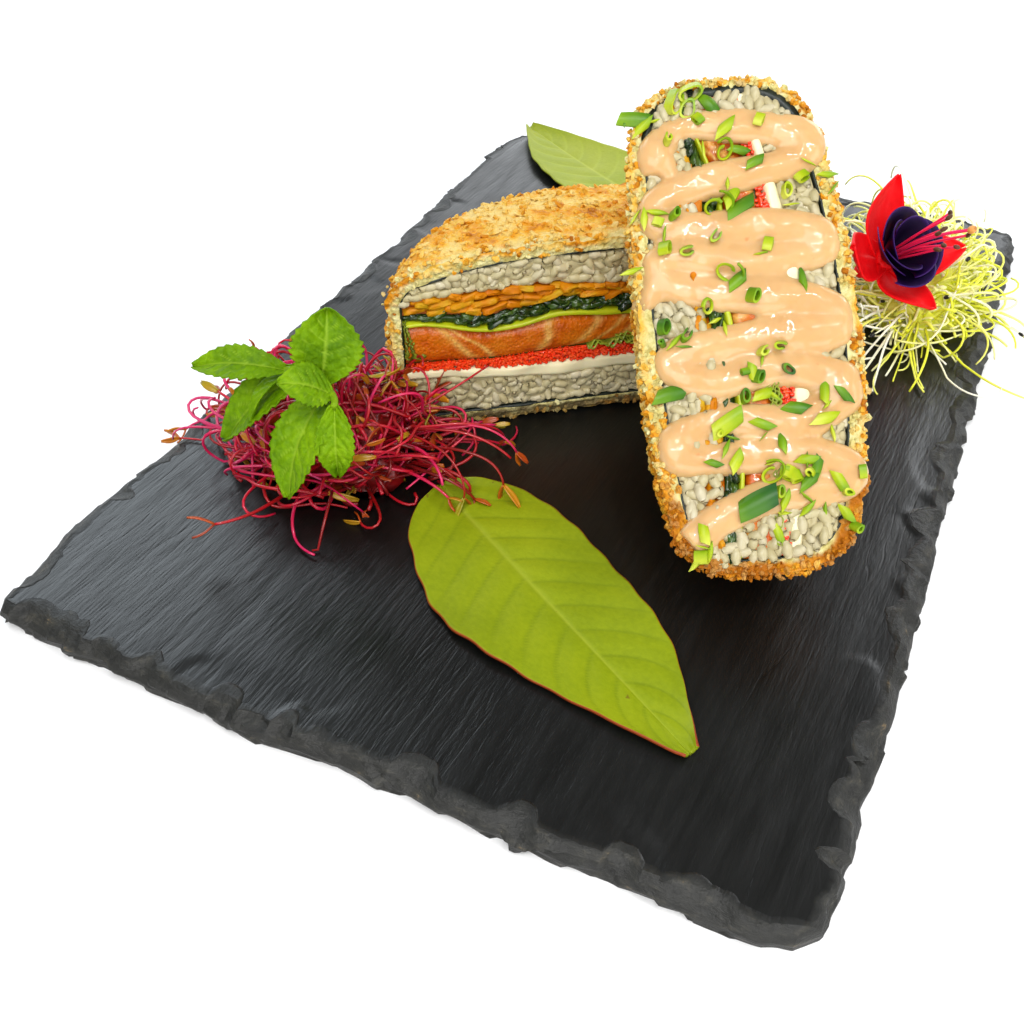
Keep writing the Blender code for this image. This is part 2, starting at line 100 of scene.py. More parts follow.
def blendColour(tree, share, first, second, mode="MIX"):
    made = addNode(tree, "Mix", data_type="RGBA", blend_type=mode)
    for slot, value in ((0, share), (6, first), (7, second)):
        if isinstance(value, bpy.types.NodeSocket):
            tree.links.new(value, made.inputs[slot])
        elif slot == 0:
            made.inputs[slot].default_value = value
        else:
            made.inputs[slot].default_value = (*value, 1)
    return made.outputs[2]


def maths(tree, operation, first, second):
    return addNode(tree, "Math", {0: first, 1: second}, operation=operation).outputs[0]


def plus(tree, first, second):
    return maths(tree, "ADD", first, second)


def times(tree, first, second):
    return maths(tree, "MULTIPLY", first, second)


def weighed(tree, *parts):
    # the sum of some values, each times its weight
    total = times(tree, *parts[0])
    for value, weight in parts[1:]:
        total = plus(tree, total, times(tree, value, weight))
    return total


def marked(tree, name):
    # a number kept on the mesh's points
    return addNode(tree, "Attribute", attribute_name=name).outputs["Fac"]


def relief(tree, shader, height, strength, distance, under=None):
    inputs = {"Height": height, "Strength": strength, "Distance": distance}
    if under is not None:
        inputs["Normal"] = under
    made = addNode(tree, "Bump", inputs).outputs[0]
    tree.links.new(made, shader.inputs["Normal"])
    return made


def colourIt(tree, shader, colour):
    tree.links.new(colour, shader.inputs["Base Color"])


def roughenIt(tree, shader, value, low, high):
    made = addNode(tree, "MapRange", {"Value": value, "To Min": low, "To Max": high}).outputs[0]
    tree.links.new(made, shader.inputs["Roughness"])


# Meshes: small helpers over lists of points

def newObject(name, data):
    made = bpy.data.objects.new(name, data)
    bpy.context.scene.collection.objects.link(made)
    return made


def makePiece(name, points, faces, material, stands=(), marks=None, smooth=True):
    mesh = bpy.data.meshes.new(name)
    mesh.from_pydata([tuple(p) for p in points], [], [tuple(int(i) for i in f) for f in faces])
    for mark, values in (marks or {}).items():
        kept = mesh.attributes.new(mark, "FLOAT", "POINT")
        kept.data.foreach_set("value", np.asarray(values, np.float32))
    mesh.validate()
    if smooth:
        mesh.shade_smooth()
    mesh.materials.append(material)
    piece = newObject(name, mesh)
    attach(piece, "root")
    if stands:
        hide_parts(*stands)
    return piece


def thicken(piece, thickness):
    made = piece.modifiers.new("thickness", "SOLIDIFY")
    made.thickness = thickness
    made.offset = 0


def gridFaces(rows, columns, first=0, closed=False, flip=False):
    made = []
    for i in range(rows - 1):
        for j in range(columns if closed else columns - 1):
            k = (j + 1) % columns
            quad = (first + i * columns + j, first + i * columns + k,
                    first + (i + 1) * columns + k, first + (i + 1) * columns + j)
            made.append(quad[::-1] if flip else quad)
    return made


def sheetFaces(rows, columns, flip=False):
    # a grid, a second one behind it and the strip that joins their borders
    size = rows * columns
    faces = gridFaces(rows, columns, 0, flip=flip) + gridFaces(rows, columns, size, flip=not flip)
    border = list(range(columns)) + [i * columns + columns - 1 for i in range(1, rows)]
    border += [(rows - 1) * columns + j for j in range(columns - 2, -1, -1)]
    border += [i * columns for i in range(rows - 2, 0, -1)]
    for a, b in zip(border, border[1:] + border[:1]):
        faces.append((a, b, size + b, size + a) if flip else (b, a, size + a, size + b))
    return faces


class Heap:
    # gathers many small bodies into one mesh
    def __init__(self):
        self.points, self.faces, self.marks, self.count = [], [], {}, 0

    def put(self, points, faces, **marks):
        points = np.asarray(points, float)
        self.points.append(points)
        self.faces += [[i + self.count for i in face] for face in faces]
        for mark, value in marks.items():
            self.marks.setdefault(mark, []).append(np.broadcast_to(np.asarray(value, float), (len(points),)))
        self.count += len(points)

    def piece(self, name, material, slot, stands=(), smooth=True):
        marks = {mark: np.concatenate(values) for mark, values in self.marks.items()}
        return makePiece(name, np.concatenate(self.points), self.faces, material, stands, marks, smooth)


def ballShape(around=8, down=6):
    points = [(0, 0, 1)]
    for i in range(1, down):
        lat = math.pi * i / down
        for j in range(around):
            lon = 2 * math.pi * (j + 0.5 * (i % 2)) / around
            points.append((math.sin(lat) * math.cos(lon), math.sin(lat) * math.sin(lon), math.cos(lat)))
    points.append((0, 0, -1))
    last = len(points) - 1
    faces = [(0, 1 + j, 1 + (j + 1) % around) for j in range(around)]
    faces += gridFaces(down - 1, around, 1, closed=True)
    base = last - around
    faces += [(last, base + (j + 1) % around, base + j) for j in range(around)]
    return np.array(points), faces


def rough(points, seed, frequency, amount):
    made = []
    for p in points:
        at = Vector(p) * frequency + Vector((seed * 3.7, seed * 1.3, -seed))
        made.append(Vector(p) * (1 + amount * noise.noise(at)))
    return np.array(made)


def turnedTo(normal, spin):
    # 3x3 matrix whose Z is the given way, turned about it
    z = Vector(normal).normalized()
    x = z.orthogonal().normalized()
    return Matrix((x, z.cross(x), z)).transposed() @ Matrix.Rotation(spin, 3, "Z")


def anyTurn(rng):
    turns = ((6.283, "Z"), (3.14, "X"), (6.283, "Z"))
    first, second, third = (Matrix.Rotation(rng.uniform(0, most), 3, axis) for most, axis in turns)
    return first @ second @ third


def anyWay(rng):
    return Vector([rng.uniform(-1, 1) for _ in range(3)])


def placed(points, turn, size, at):
    size = np.asarray(size, float)
    return (np.asarray(points) * size) @ np.array(turn).T + np.asarray(at, float)


def smoothThrough(points, count):
    # count points on a Catmull-Rom curve through the given ones
    points = [Vector(p) for p in points]
    ends = [2 * points[0] - points[1]] + points + [2 * points[-1] - points[-2]]
    made = []
    for index in range(count):
        place = index / (count - 1) * (len(points) - 1)
        first = min(int(place), len(points) - 2)
        t = place - first
        a, b, c, d = ends[first:first + 4]
        made.append(0.5 * (2 * b + (c - a) * t + (2 * a - 5 * b + 4 * c - d) * t * t
                           + (3 * b - a - 3 * c + d) * t * t * t))
    return made


def tubeThrough(points, radii, sides=6, flat=1.0):
    # closed tube; flat squeezes its cross section
    points = [Vector(p) for p in points]
    count = len(points)
    rings = []
    side = None
    for i in range(count):
        way = (points[min(i + 1, count - 1)] - points[max(i - 1, 0)]).normalized()
        side = way.orthogonal().normalized() if side is None else (side - side.dot(way) * way).normalized()
        over = way.cross(side)
        radius = radii[i] if hasattr(radii, "__len__") else radii
        for k in range(sides):
            turn = 2 * math.pi * k / sides
            rings.append(points[i] + side * radius * math.cos(turn) + over * radius * flat * math.sin(turn))
    faces = gridFaces(count, sides, closed=True)
    faces.append(tuple(reversed(range(sides))))
    faces.append(tuple(range((count - 1) * sides, count * sides)))
    return np.array(rings), faces


def lerp(a, b, t):
    return a + (b - a) * t


def valueAt(table, x):
    return float(np.interp(x, [t[0] for t in table], [t[1] for t in table]))


def smoothStep(low, high, x):
    t = np.clip((x - low) / (high - low), 0, 1)
    return t * t * (3 - 2 * t)


# Board

slate = {
    "half": (100 * mm, 150 * mm),
    "thick": 6 * mm,
    "columns": 165,
    "rows": 245,
    "levels": [1.0, 0.93, 0.84, 0.74, 0.64, 0.54, 0.44, 0.34, 0.22, 0.1, 0.0],
    "outward": [(0.0, 2.9), (0.45, 3.6), (0.8, 2.0), (1.0, 0.2)],   # share of the thickness, mm outward
    "chips": 95,
    "chipWidth": (2.0, 7.5),
    "chipDepth": (0.6, 3.2),
    "colour": (0.010, 0.011, 0.012),
    "edgeColour": (0.018, 0.018, 0.015),
    "cornerCuts": ((0.04, 0.34), (0.22, 0.12)),   # left and right corners, near and far
    "reach": 14 * mm,   # how far in the top follows the uneven rim
}


def slateShader():
    material, tree, shader = newShader("slate", slate["colour"], 0.4, {"Specular IOR Level": 0.42})
    long = whereOn(tree, (1, 0.13, 1), math.radians(4))
    plain = whereOn(tree)
    streaks = cloud(tree, long, 330, 4, 0.6)
    fine = cloud(tree, long, 1300, 3, 0.6)
    patches = cloud(tree, plain, 22, 3)
    lines = cloud(tree, long, 140, 2, 0.5)
    cracks = ramp(tree, lines, [(0.485, grey(1)), (0.498, grey(0.2)), (0.502, grey(0.2)), (0.515, grey(1))])
    some = ramp(tree, cloud(tree, plain, 28, 2), [(0.48, grey(0)), (0.62, grey(1))])
    edge = marked(tree, "edge")
    top = ramp(tree, patches, [(0.3, (0.002, 0.0021, 0.0017)), (0.7, (0.005, 0.0052, 0.0047))])
    sideGrain = cloud(tree, whereOn(tree, (1, 1, 3.5)), 210, 5, 0.65)
    side = ramp(tree, sideGrain, [(0.3, (0.006, 0.006, 0.005)), (0.55, slate["edgeColour"]),
                                  (0.66, (0.04, 0.037, 0.028)), (0.74, (0.16, 0.11, 0.055))])
    colourIt(tree, shader, blendColour(tree, edge, top, side))
    roughenIt(tree, shader, plus(tree, streaks, edge), 0.2, 0.5)
    height = weighed(tree, (streaks, 0.7), (fine, 0.35), (times(tree, cracks, some), 0.14),
                     (times(tree, sideGrain, edge), 2.6))
    relief(tree, shader, height, 0.7, 0.0004)
    return material


def makeSlate():
    rng = random.Random(4)
    halfX, halfY = slate["half"]
    columns, rows = slate["columns"], slate["rows"]
    perimeter = 4 * (halfX + halfY)
    chips = [(rng.uniform(0, perimeter), rng.uniform(*slate["chipWidth"]) * mm,
              rng.uniform(*slate["chipDepth"]) * mm, rng.uniform(0.1, 0.7)) for _ in range(slate["chips"])]

    def biteAt(s):
        deep, foot = 0.0, 0.6
        for middle, width, depth, reach in chips:
            away = abs((s - middle + perimeter / 2) % perimeter - perimeter / 2)
            if away < width:
                bite = depth * math.sqrt(1 - (away / width) ** 2)
                if bite > deep:
                    deep, foot = bite, reach
        return deep, foot

    def edgeOut(s, share, at):
        # how far the outline stands out at a share of the thickness
        out = valueAt(slate["outward"], share) * mm
        slow = noise.noise(Vector((at.x * 30, at.y * 30, 3))) * 1.8 * mm
        fast = noise.noise(Vector((at.x * 160, at.y * 160, 7 + share * 2.2))) * 0.35 * mm
        spot = Vector((at.x * 130, at.y * 130, share * 1.3))
        seedPoint = noise.voronoi(spot)[1][0]
        lean = noise.noise_vector(seedPoint * 3.1)
        facet = (spot - seedPoint).dot(lean) * 2.6 * mm
        plates = noise.noise(Vector((at.x * 60, at.y * 60, math.floor(share * 4) * 3.3))) * 0.9 * mm
        bite, foot = biteAt(s)
        sunk = max(0.0, (share - foot) / (1 - foot)) * bite
        return out + slow + fast + facet + plates * (share < 1) - sunk - 0.5 * bite * (share > 0.99)

    # each side: where it starts and ends, the way out, its steps, its first cell in the top's grid
    # and the offset of the next one
    sides = (((-halfX, -halfY), (halfX, -halfY), (0, -1), columns - 1, 0, 1),
             ((halfX, -halfY), (halfX, halfY), (1, 0), rows - 1, columns - 1, columns),
             ((halfX, halfY), (-halfX, halfY), (0, 1), columns - 1, rows * columns - 1, -1),
             ((-halfX, halfY), (-halfX, -halfY), (-1, 0), rows - 1, (rows - 1) * columns, -columns))
    count = 2 * (columns - 1) + 2 * (rows - 1)

    def rimPlace(index):
        # nominal rim point, way out, run along the rim and the grid's cell
        run = 0.0
        for (ax, ay), (bx, by), out, steps, cell, stride in sides:
            length = abs(bx - ax) + abs(by - ay)
            if index < steps:
                t = index / steps
                at = Vector((lerp(ax, bx, t), lerp(ay, by, t)))
                return at, Vector(out), run + t * length, cell + index * stride
            index -= steps
            run += length

    def corner(at):
        # pulls the corners in
        over = max(0.0, abs(at.x) / halfX + abs(at.y) / halfY - 1.93)
        return at * (1 - slate["cornerCuts"][at.x > 0][at.y > 0] * over)

    rings = []
    for share in slate["levels"]:
        ring = []
        for index in range(count):
            at, out, s, _ = rimPlace(index)
            moved = corner(at + out * edgeOut(s, share, at))
            lift = noise.noise(Vector((at.x * 120, at.y * 120, 9))) * 0.25 * mm if 0 < share < 1 else 0.0
            ring.append(Vector((moved.x, moved.y, share * slate["thick"] + lift)))
        rings.append(ring)

    # top: the nominal grid, drawn in to the uneven rim near its border
    points, edgeMark = [], []
    top = rings[0]
    for r in range(rows):
        for c in range(columns):
            x = lerp(-halfX, halfX, c / (columns - 1))
            y = lerp(-halfY, halfY, r / (rows - 1))
            shift = Vector((0, 0))
            near = [(halfY + y, c), (halfX - x, columns - 1 + r),
                    (halfY - y, columns - 1 + rows - 1 + columns - 1 - c),
                    (halfX + x, 2 * (columns - 1) + rows - 1 + rows - 1 - r)]
            total = 0.0
            for away, index in near:
                if away < slate["reach"]:
                    weight = (1 - away / slate["reach"]) ** 3
                    shift += (top[index % count].xy - rimPlace(index % count)[0]) * weight
                    total += weight
            if total > 1:
                shift /= total
            rim = min(away for away, index in near)
            wave = noise.noise(Vector((x * 45, y * 9, 2))) * 0.12
            wave += noise.noise(Vector((x * 150, y * 22, 5))) * 0.05
            step = noise.noise(Vector((x * 24, y * 24, 8))) + 0.5 * noise.noise(Vector((x * 90, y * 90, 1)))
            terrace = -0.35 * smoothStep(0.12, 0.2, step) * smoothStep(13 * mm, 3 * mm, rim)
            points.append(Vector((x + shift.x, y + shift.y, slate["thick"] + (wave + terrace - 0.1) * mm)))
            edgeMark.append(0.5 * float(smoothStep(1.3 * mm, 0.0, rim)))

    previous = [rimPlace(index)[3] for index in range(count)]
    for cell, rimPoint in zip(previous, top):
        points[cell] = rimPoint + Vector((0, 0, points[cell].z - slate["thick"]))
    faces = gridFaces(rows, columns)
    for ring in rings[1:]:
        start = len(points)
        points += ring
        edgeMark += [1.0] * count
        for i in range(count):
            j = (i + 1) % count
            faces.append((previous[j], previous[i], start + i, start + j))
        previous = list(range(start, start + count))
    faces.append(tuple(reversed(previous)))
    piece = makePiece("slate_board_chipped", points, faces, slateShader(),
                      ("slate_board",), {"edge": edgeMark})
    piece.data.set_sharp_from_angle(angle=math.radians(21))
    print("slate", len(points))


# Burger halves: a disc turned about Z in its own frame, cut on y = 0

burger = {
    "radius": 59.7 * mm,
    "taper": 0.25,
    "taperStart": 0.4,
    "crust": 3.5 * mm,
    "nori": 0.45 * mm,
    "gap": 0.3 * mm,
    "stations": [-50, -30, -12, 5, 25, 50],
    "crispsTop": [43.2, 43.9, 43.6, 42.2, 42.8, 42.0],
    "seaweedTop": [37.8, 35.4, 38.0, 37.2, 36.8, 37.4],
    "avocadoTop": [36.1, 32.1, 34.9, 33.6, 33.2, 34.4],
    "salmonTop": [34.5, 30.2, 32.7, 31.2, 31.0, 32.6],
    "lettuceTop": [23.8, 22.4, 23.5, 25.9, 24.6, 24.0],
    "salmonLow": [22.5, 21.2, 22.0, 23.0, 24.0, 23.8],
    "roeTop": [22.3, 21.0, 21.9, 21.8, 21.7, 22.4],
    "creamTop": [20.9, 19.3, 18.9, 18.8, 19.1, 20.4],
    "creamLow": [17.4, 14.9, 13.2, 13.8, 13.9, 16.0],
    "riceBottomTop": [18.2, 15.9, 14.4, 15.0, 15.1, 17.2],
}
lyingHalf = {
    "name": "lying", "height": 56 * mm, "depth": 54 * mm, "topDome": 7.8 * mm, "bottomDome": 0.0,
    "domePower": 3.5, "topCorner": 10 * mm, "bottomCorner": 12.3 * mm, "skew": 0.0, "mirrored": False,
    "matrix": Matrix.Translation(Vector((1.7, -15.6, 6.3)) * mm) @ Matrix.Rotation(math.radians(37), 4, "Z"),
    "seed": 1,
}
leaningHalf = {
    "name": "leaning", "height": 52 * mm, "depth": 48 * mm, "topDome": 4.3 * mm, "bottomDome": 8 * mm,
    "domePower": 2.0, "topCorner": 16 * mm, "bottomCorner": 18 * mm, "skew": 0.22, "mirrored": True,
    "seed": 2,
}


def leaningMatrix():
    along = Vector((-0.402, 0.642, 0.653)).normalized()
    up = Vector((-0.880, -0.467, -0.082))
    up = (up - up.dot(along) * along).normalized()
    middle = Vector((46.7, -40.8, 63.5)) * mm - up * leaningHalf["height"] / 2
    return Matrix.Translation(middle) @ Matrix((along, up.cross(along), up)).transposed().to_4x4()


leaningHalf["matrix"] = leaningMatrix()


def toWorld(half, points):
    turn = np.array(half["matrix"])
    return np.asarray(points, float) @ turn[:3, :3].T + turn[:3, 3]


def profileOf(half, inset, count):
    # half outline of the disc: top middle, outer side, underside middle, evenly spaced
    radius = burger["radius"] - inset
    topCorner = max(half["topCorner"] - inset, 2 * mm)
    bottomCorner = max(half["bottomCorner"] - inset, 2 * mm)
    power = half["domePower"]

    def topAt(r):
        return half["height"] - inset - half["topDome"] * (r / radius) ** power

    def bottomAt(r):
        return inset + half["bottomDome"] * (r / radius) ** power

    made = [(r, topAt(r)) for r in np.linspace(0, radius - topCorner, 24)]
    middle = topAt(radius - topCorner) - topCorner
    made += [(radius - topCorner + topCorner * math.cos(a), middle + topCorner * math.sin(a))
             for a in np.linspace(math.pi / 2, 0, 12)[1:]]
    middle = bottomAt(radius - bottomCorner) + bottomCorner
    made += [(radius - bottomCorner + bottomCorner * math.cos(a), middle + bottomCorner * math.sin(a))
             for a in np.linspace(0, -math.pi / 2, 12)]
    made += [(r, bottomAt(r)) for r in np.linspace(radius - bottomCorner, 0, 24)[1:]]
    made = np.array(made)
    run = np.concatenate([[0], np.cumsum(np.linalg.norm(np.diff(made, axis=0), axis=1))])
    even = np.linspace(0, run[-1], count)
    return np.stack([np.interp(even, run, made[:, 0]), np.interp(even, run, made[:, 1])], -1)


def outlineAt(half, inset, x):
    # lowest and highest point of the disc's outline at distance x from its axis
    profile = profileOf(half, inset, 400)
    widest = int(np.argmax(profile[:, 0]))
    top = np.interp(np.abs(x), profile[:widest + 1, 0], profile[:widest + 1, 1])
    low = np.interp(np.abs(x), profile[widest:, 0][::-1], profile[widest:, 1][::-1])
    return low, top


def squeeze(half, x, y, z):
    away = np.abs(y) / np.maximum(np.hypot(x, y), mm)
    high = np.clip((z / half["height"] - burger["taperStart"]) / (1 - burger["taperStart"]), 0, None)
    narrow = 1 - burger["taper"] * away ** 0.7 * high ** 1.5
    deep = half["depth"] / burger["radius"] * (1 - half["skew"] * x / burger["radius"])
    return np.stack([x * narrow, y * narrow * deep, z], -1)


def turnedGrid(half, inset, around, down):
    profile = profileOf(half, inset, down)
    angles = np.linspace(0, math.pi, around)
    x = np.outer(np.cos(angles), profile[:, 0])
    y = np.outer(np.sin(angles), profile[:, 0])
    z = np.broadcast_to(profile[:, 1], x.shape)
    return squeeze(half, x, y, z)


def gridNormals(grid):
    across = np.gradient(grid, axis=0)
    along = np.gradient(grid, axis=1)
    normal = np.cross(along, across)
    size = np.linalg.norm(normal, axis=2, keepdims=True)
    normal = normal / np.maximum(size, 1e-12)
    normal[:, 0] = (0, 0, 1)
    normal[:, -1] = (0, 0, -1)
    return normal


def boundaryHeight(half, name, x):
    table = np.array(burger[name]) * mm
    places = np.array(burger["stations"]) * mm
    fine, spots = ([p.z for p in smoothThrough([(0, 0, t) for t in knots], 101)] for knots in (table, places))
    height = np.interp(-x if half["mirrored"] else x, spots, fine)
    lift = half["bottomDome"] * (x / burger["radius"]) ** 2
    height = height * half["height"] / lyingHalf["height"]
    return height + lift * (1 - height / half["height"])


crustLook = {
    "around": 250,
    "down": 150,
    "lump": 1.25 * mm,
    "cream": (0.79, 0.56, 0.17),
    "pale": (0.76, 0.45, 0.06),
    "gold": (0.72, 0.30, 0.010),
    "brown": (0.42, 0.13, 0.003),
    # painted shade: a near-black brown for the lying half's foot, where it meets the slate
    "under": (0.13, 0.095, 0.04),
    "crumbs": 2300,
    "crumbSize": (0.5 * mm, 1.35 * mm),
    "rimCrumbs": 1100,
}


def crustShader():
    material, tree, shader = newShader("crust", crustLook["gold"], 0.62,
                                       {"Specular IOR Level": 0.2})
    plain = whereOn(tree)
    patches = cloud(tree, plain, 95, 4, 0.6)
    spots = cloud(tree, plain, 420, 3, 0.6)
    pits = cells(tree, plain, 900)
    crown = marked(tree, "crown")   # how far a point stands out of the crust
    cut = marked(tree, "cut")
    toast = plus(tree, weighed(tree, (patches, 1.3), (spots, 0.35), (crown, 0.19)), -0.26)
    outer = ramp(tree, toast, [(0.45, crustLook["cream"]), (0.57, crustLook["pale"]),
                               (0.70, crustLook["gold"]), (0.90, crustLook["brown"])])
    inner = ramp(tree, spots, [(0.3, (0.46, 0.37, 0.09)), (0.48, (0.69, 0.61, 0.24)),
                               (0.75, (0.80, 0.76, 0.44))])
    colour = blendColour(tree, cut, outer, inner)
    # the under mark blends in the painted shade at the lying half's foot
    colourIt(tree, shader, blendColour(tree, marked(tree, "under"), colour, crustLook["under"]))
    roughenIt(tree, shader, spots, 0.42, 0.75)
    height = plus(tree, spots, times(tree, pits, 0.7))
    relief(tree, shader, height, 0.85, 0.0009)
    return material


def crustLump(p, seed):
    at = Vector(p) + Vector((seed * 0.3, 0, 0))
    slow = noise.noise(at * 90)
    flake = 0.5 - noise.voronoi(at * 300)[0][0]
    fast = noise.noise(at * 620)
    return 0.3 * slow + 0.85 * flake + 0.4 * fast


def makeCrust(half, material):
    seed = half["seed"]
    around, down = crustLook["around"], crustLook["down"]
    grid = turnedGrid(half, 0.5 * mm, around, down)
    normals = gridNormals(grid)
    lumps = np.array([[crustLump(p, seed) for p in row] for row in grid])
    baked = np.zeros(grid.shape[:2])
    if half["mirrored"]:
        # the leaning half's low end is browner
        baked = 1.5 * smoothStep(-22 * mm, -52 * mm, grid[..., 0])
    moved = grid + normals * lumps[..., None] * crustLook["lump"]
    if not half["mirrored"]:
        moved[..., 2] = np.maximum(moved[..., 2], 0.15 * mm)
    points = list(moved.reshape(-1, 3))
    faces = gridFaces(around, down, flip=True)
    crown = list((lumps + baked).reshape(-1))
    # the outside stays paler beside the cut
    cut = [0.75 * float(smoothStep(5.5 * mm, 0.5 * mm, p[1] + 3 * mm * noise.noise(Vector(p) * 200)))
           * (0.35 if half["mirrored"] else 1) for p in points]
    # painted shade on the lying half's lowest 1.6 mm, beside the slate
    under = [0.0 if half["mirrored"] else 0.8 * float(smoothStep(1.6 * mm, 0.4 * mm, p[2])) for p in points]

    # cut band on the face: from the outer edge to the inner one
    inner = turnedGrid(half, burger["crust"] + 0.45 * mm, 2, down)
    if half["mirrored"]:
        away = smoothStep(34 * mm, 50 * mm, inner[..., 0])[..., None]
        inner = lerp(inner, moved[[0, -1]], 0.5 * away)
    band = 12
    for side, row in ((0, 0), (1, -1)):
        start = len(points)
        for j in range(down):
            outerPoint, innerPoint = moved[row, j], inner[row, j]
            for k in range(band):
                t = k / (band - 1)
                p = outerPoint + (innerPoint - outerPoint) * t
                wave = noise.noise(Vector(p) * 420 + Vector((seed, 0, 0))) * 0.6 * mm \
                    + noise.noise(Vector(p) * 1000) * 0.6 * mm
                edge = min(1.0, 2.5 * t) * min(1.0, 4 * (1 - t) + 0.3)
                points.append((p[0], -0.25 * mm * edge + wave * edge, p[2]))
                crown.append(0.15 * (1 - t) + 1.3 * baked[row, j])
                toasted = 0.35 + 0.5 * noise.noise(Vector(p) * 170 + Vector((0, seed, 0)))
                toasted += 0.3 * baked[row, j]
                cut.append(float(smoothStep(toasted - 0.25, toasted + 0.25, t)))
                # painted shade over the lowest few millimetres of the cut band, beside the slate
                dark = 0.9 + 0.5 * noise.noise(Vector(p) * 300)
                under.append(0.0 if half["mirrored"] else dark * float(smoothStep(4.2 * mm, 3.0 * mm, p[2])))
        faces += gridFaces(down, band, start, flip=(side == 1))

    # inner wall
    wallAround, wallDown = 40, 50
    wall = turnedGrid(half, burger["crust"], wallAround, wallDown)
    faces += gridFaces(wallAround, wallDown, len(points))
    points += list(wall.reshape(-1, 3))
    for values, value in ((crown, 0.0), (cut, 1.0), (under, 0.0)):
        values.extend([value] * (wallAround * wallDown))
    name = half["name"]
    makePiece(name + "_crumb_crust", toWorld(half, points), faces, material, (name + "_crust",),
              {"crown": crown, "cut": cut, "under": under})
    print(name, "crust", len(points))
    makeCrumbs(half, material, moved, normals, inner, baked)


def makeCrumbs(half, material, moved, normals, inner, baked):
    # loose crumbs, on the crust's outside first and then along its cut
    rng = random.Random(half["seed"] + 20)
    down = crustLook["down"]
    base, ballFaces = ballShape(6, 4)
    shapes = [rough(base, s, 1.3, 0.9) for s in range(6)]
    heap = Heap()
    steps = np.linalg.norm(np.cross(np.diff(moved, axis=0)[:, :-1], np.diff(moved, axis=1)[:-1]), axis=2)
    weights = steps.reshape(-1).cumsum()
    for _ in range(crustLook["crumbs"]):
        pick = int(np.searchsorted(weights, rng.uniform(0, weights[-1])))
        i, j = divmod(pick, down - 1)
        at, normal = moved[i, j], normals[i, j]
        if not half["mirrored"] and at[2] < 1.0 * mm:
            continue
        size = rng.uniform(*crustLook["crumbSize"]) * (1 if rng.random() < 0.85 else 1.5)
        tilt = Vector(normal) + anyWay(rng) * 0.7
        turn = turnedTo(tilt, rng.uniform(0, 6.28))
        put = placed(rng.choice(shapes), turn,
                     (size * 1.1, size * rng.uniform(0.5, 1), size * rng.uniform(0.3, 0.6)),
                     at + normal * 0.1 * mm)
        crown = rng.uniform(-0.6, 0.7) + baked[i, j]
        heap.put(toWorld(half, put), ballFaces, crown=crown, cut=0.0, under=0.0)
    for _ in range(crustLook["rimCrumbs"] if half["mirrored"] else crustLook["rimCrumbs"] // 2):
        row = rng.choice((0, -1))
        j = rng.randrange(6, down - 6)
        at, normal = moved[row, j], normals[row, j]
        if not half["mirrored"] and at[2] < 0.6 * mm and rng.random() < 0.5:
            continue
        size = rng.uniform(0.45 * mm, 1.25 * mm)
        if rng.random() < 0.62:
            # on the cut, more of them toward its outer edge
            at = lerp(at, inner[row, j], rng.uniform(0, 1) ** 1.4 * 0.95)
            at = at + np.array((0, rng.uniform(-0.5, 0.1) * mm, 0))
        else:
            at = at + normal * rng.uniform(-0.2, 0.9) * mm + np.array((0, rng.uniform(0, 2.5) * mm, 0))
        put = placed(rng.choice(shapes), anyTurn(rng), (size, size * 0.7, size * 0.6), at)
        # crumbs low on the lying half take the same painted shade
        dark = 0.7 if not half["mirrored"] and at[2] < 3.6 * mm else 0.0
        pale = rng.choice((0, 0, 0.6, 1)) * (1 if baked[row, j] < 0.6 else 0.2)
        crown = rng.uniform(-0.3, 1.2) + baked[row, j]
        heap.put(toWorld(half, put), ballFaces, crown=crown, cut=pale, under=dark)
    heap.piece(half["name"] + "_crumbs", material, "crust", smooth=False)
    print(half["name"], "crumbs", heap.count)


def noriShader():
    material, tree, shader = newShader("nori", (0.01, 0.016, 0.011), 0.42)
    where = whereOn(tree)
    grain = cloud(tree, where, 700, 4)
    colourIt(tree, shader, ramp(tree, grain, [(0.3, (0.004, 0.007, 0.006)), (0.75, (0.02, 0.032, 0.022))]))
    roughenIt(tree, shader, grain, 0.3, 0.6)
    relief(tree, shader, grain, 0.5, 0.0004)
    return material


def makeNori(half, material):
    inset = burger["crust"] + burger["gap"]
    thick = burger["nori"]
    around, down = 90, 130
    outer = turnedGrid(half, inset, around, down)
    inner = turnedGrid(half, inset + thick, around, down)
    wave = np.zeros((down,))
    for grid in (outer, inner):
        for row in (0, -1):
            for j in range(down):
                p = Vector(outer[row, j])
                wave[j] = noise.noise(p * 160 + Vector((half["seed"], 3, 0)))
                grid[row, j, 1] = (-0.12 + 0.4 * wave[j]) * mm
                push = noise.noise(p * 90 + Vector((9, half["seed"], 0))) * 0.45 * mm
                if half["mirrored"] and grid is outer:
                    out = 1 + 0.042 * float(smoothStep(34 * mm, 50 * mm, p.x))
                    grid[row, j, 0] *= out
                    grid[row, j, 2] = lerp(half["height"] / 2, grid[row, j, 2], out)
                grid[row, j, 0] += push
                grid[row, j, 2] += push * 0.5
    points = np.concatenate([outer.reshape(-1, 3), inner.reshape(-1, 3)])
    size = around * down
    faces = gridFaces(around, down, flip=True) + gridFaces(around, down, size)
    for row in (0, around - 1):
        for j in range(down - 1):
            a, b = row * down + j, row * down + j + 1
            quad = (a, b, size + b, size + a)
            faces.append(quad if row == 0 else quad[::-1])
    makePiece(half["name"] + "_seaweed_sheet", toWorld(half, points), faces, material,
              (half["name"] + "_nori",))


insideInset = burger["crust"] + burger["gap"] * 2 + burger["nori"]
insideRadius = burger["radius"] - insideInset


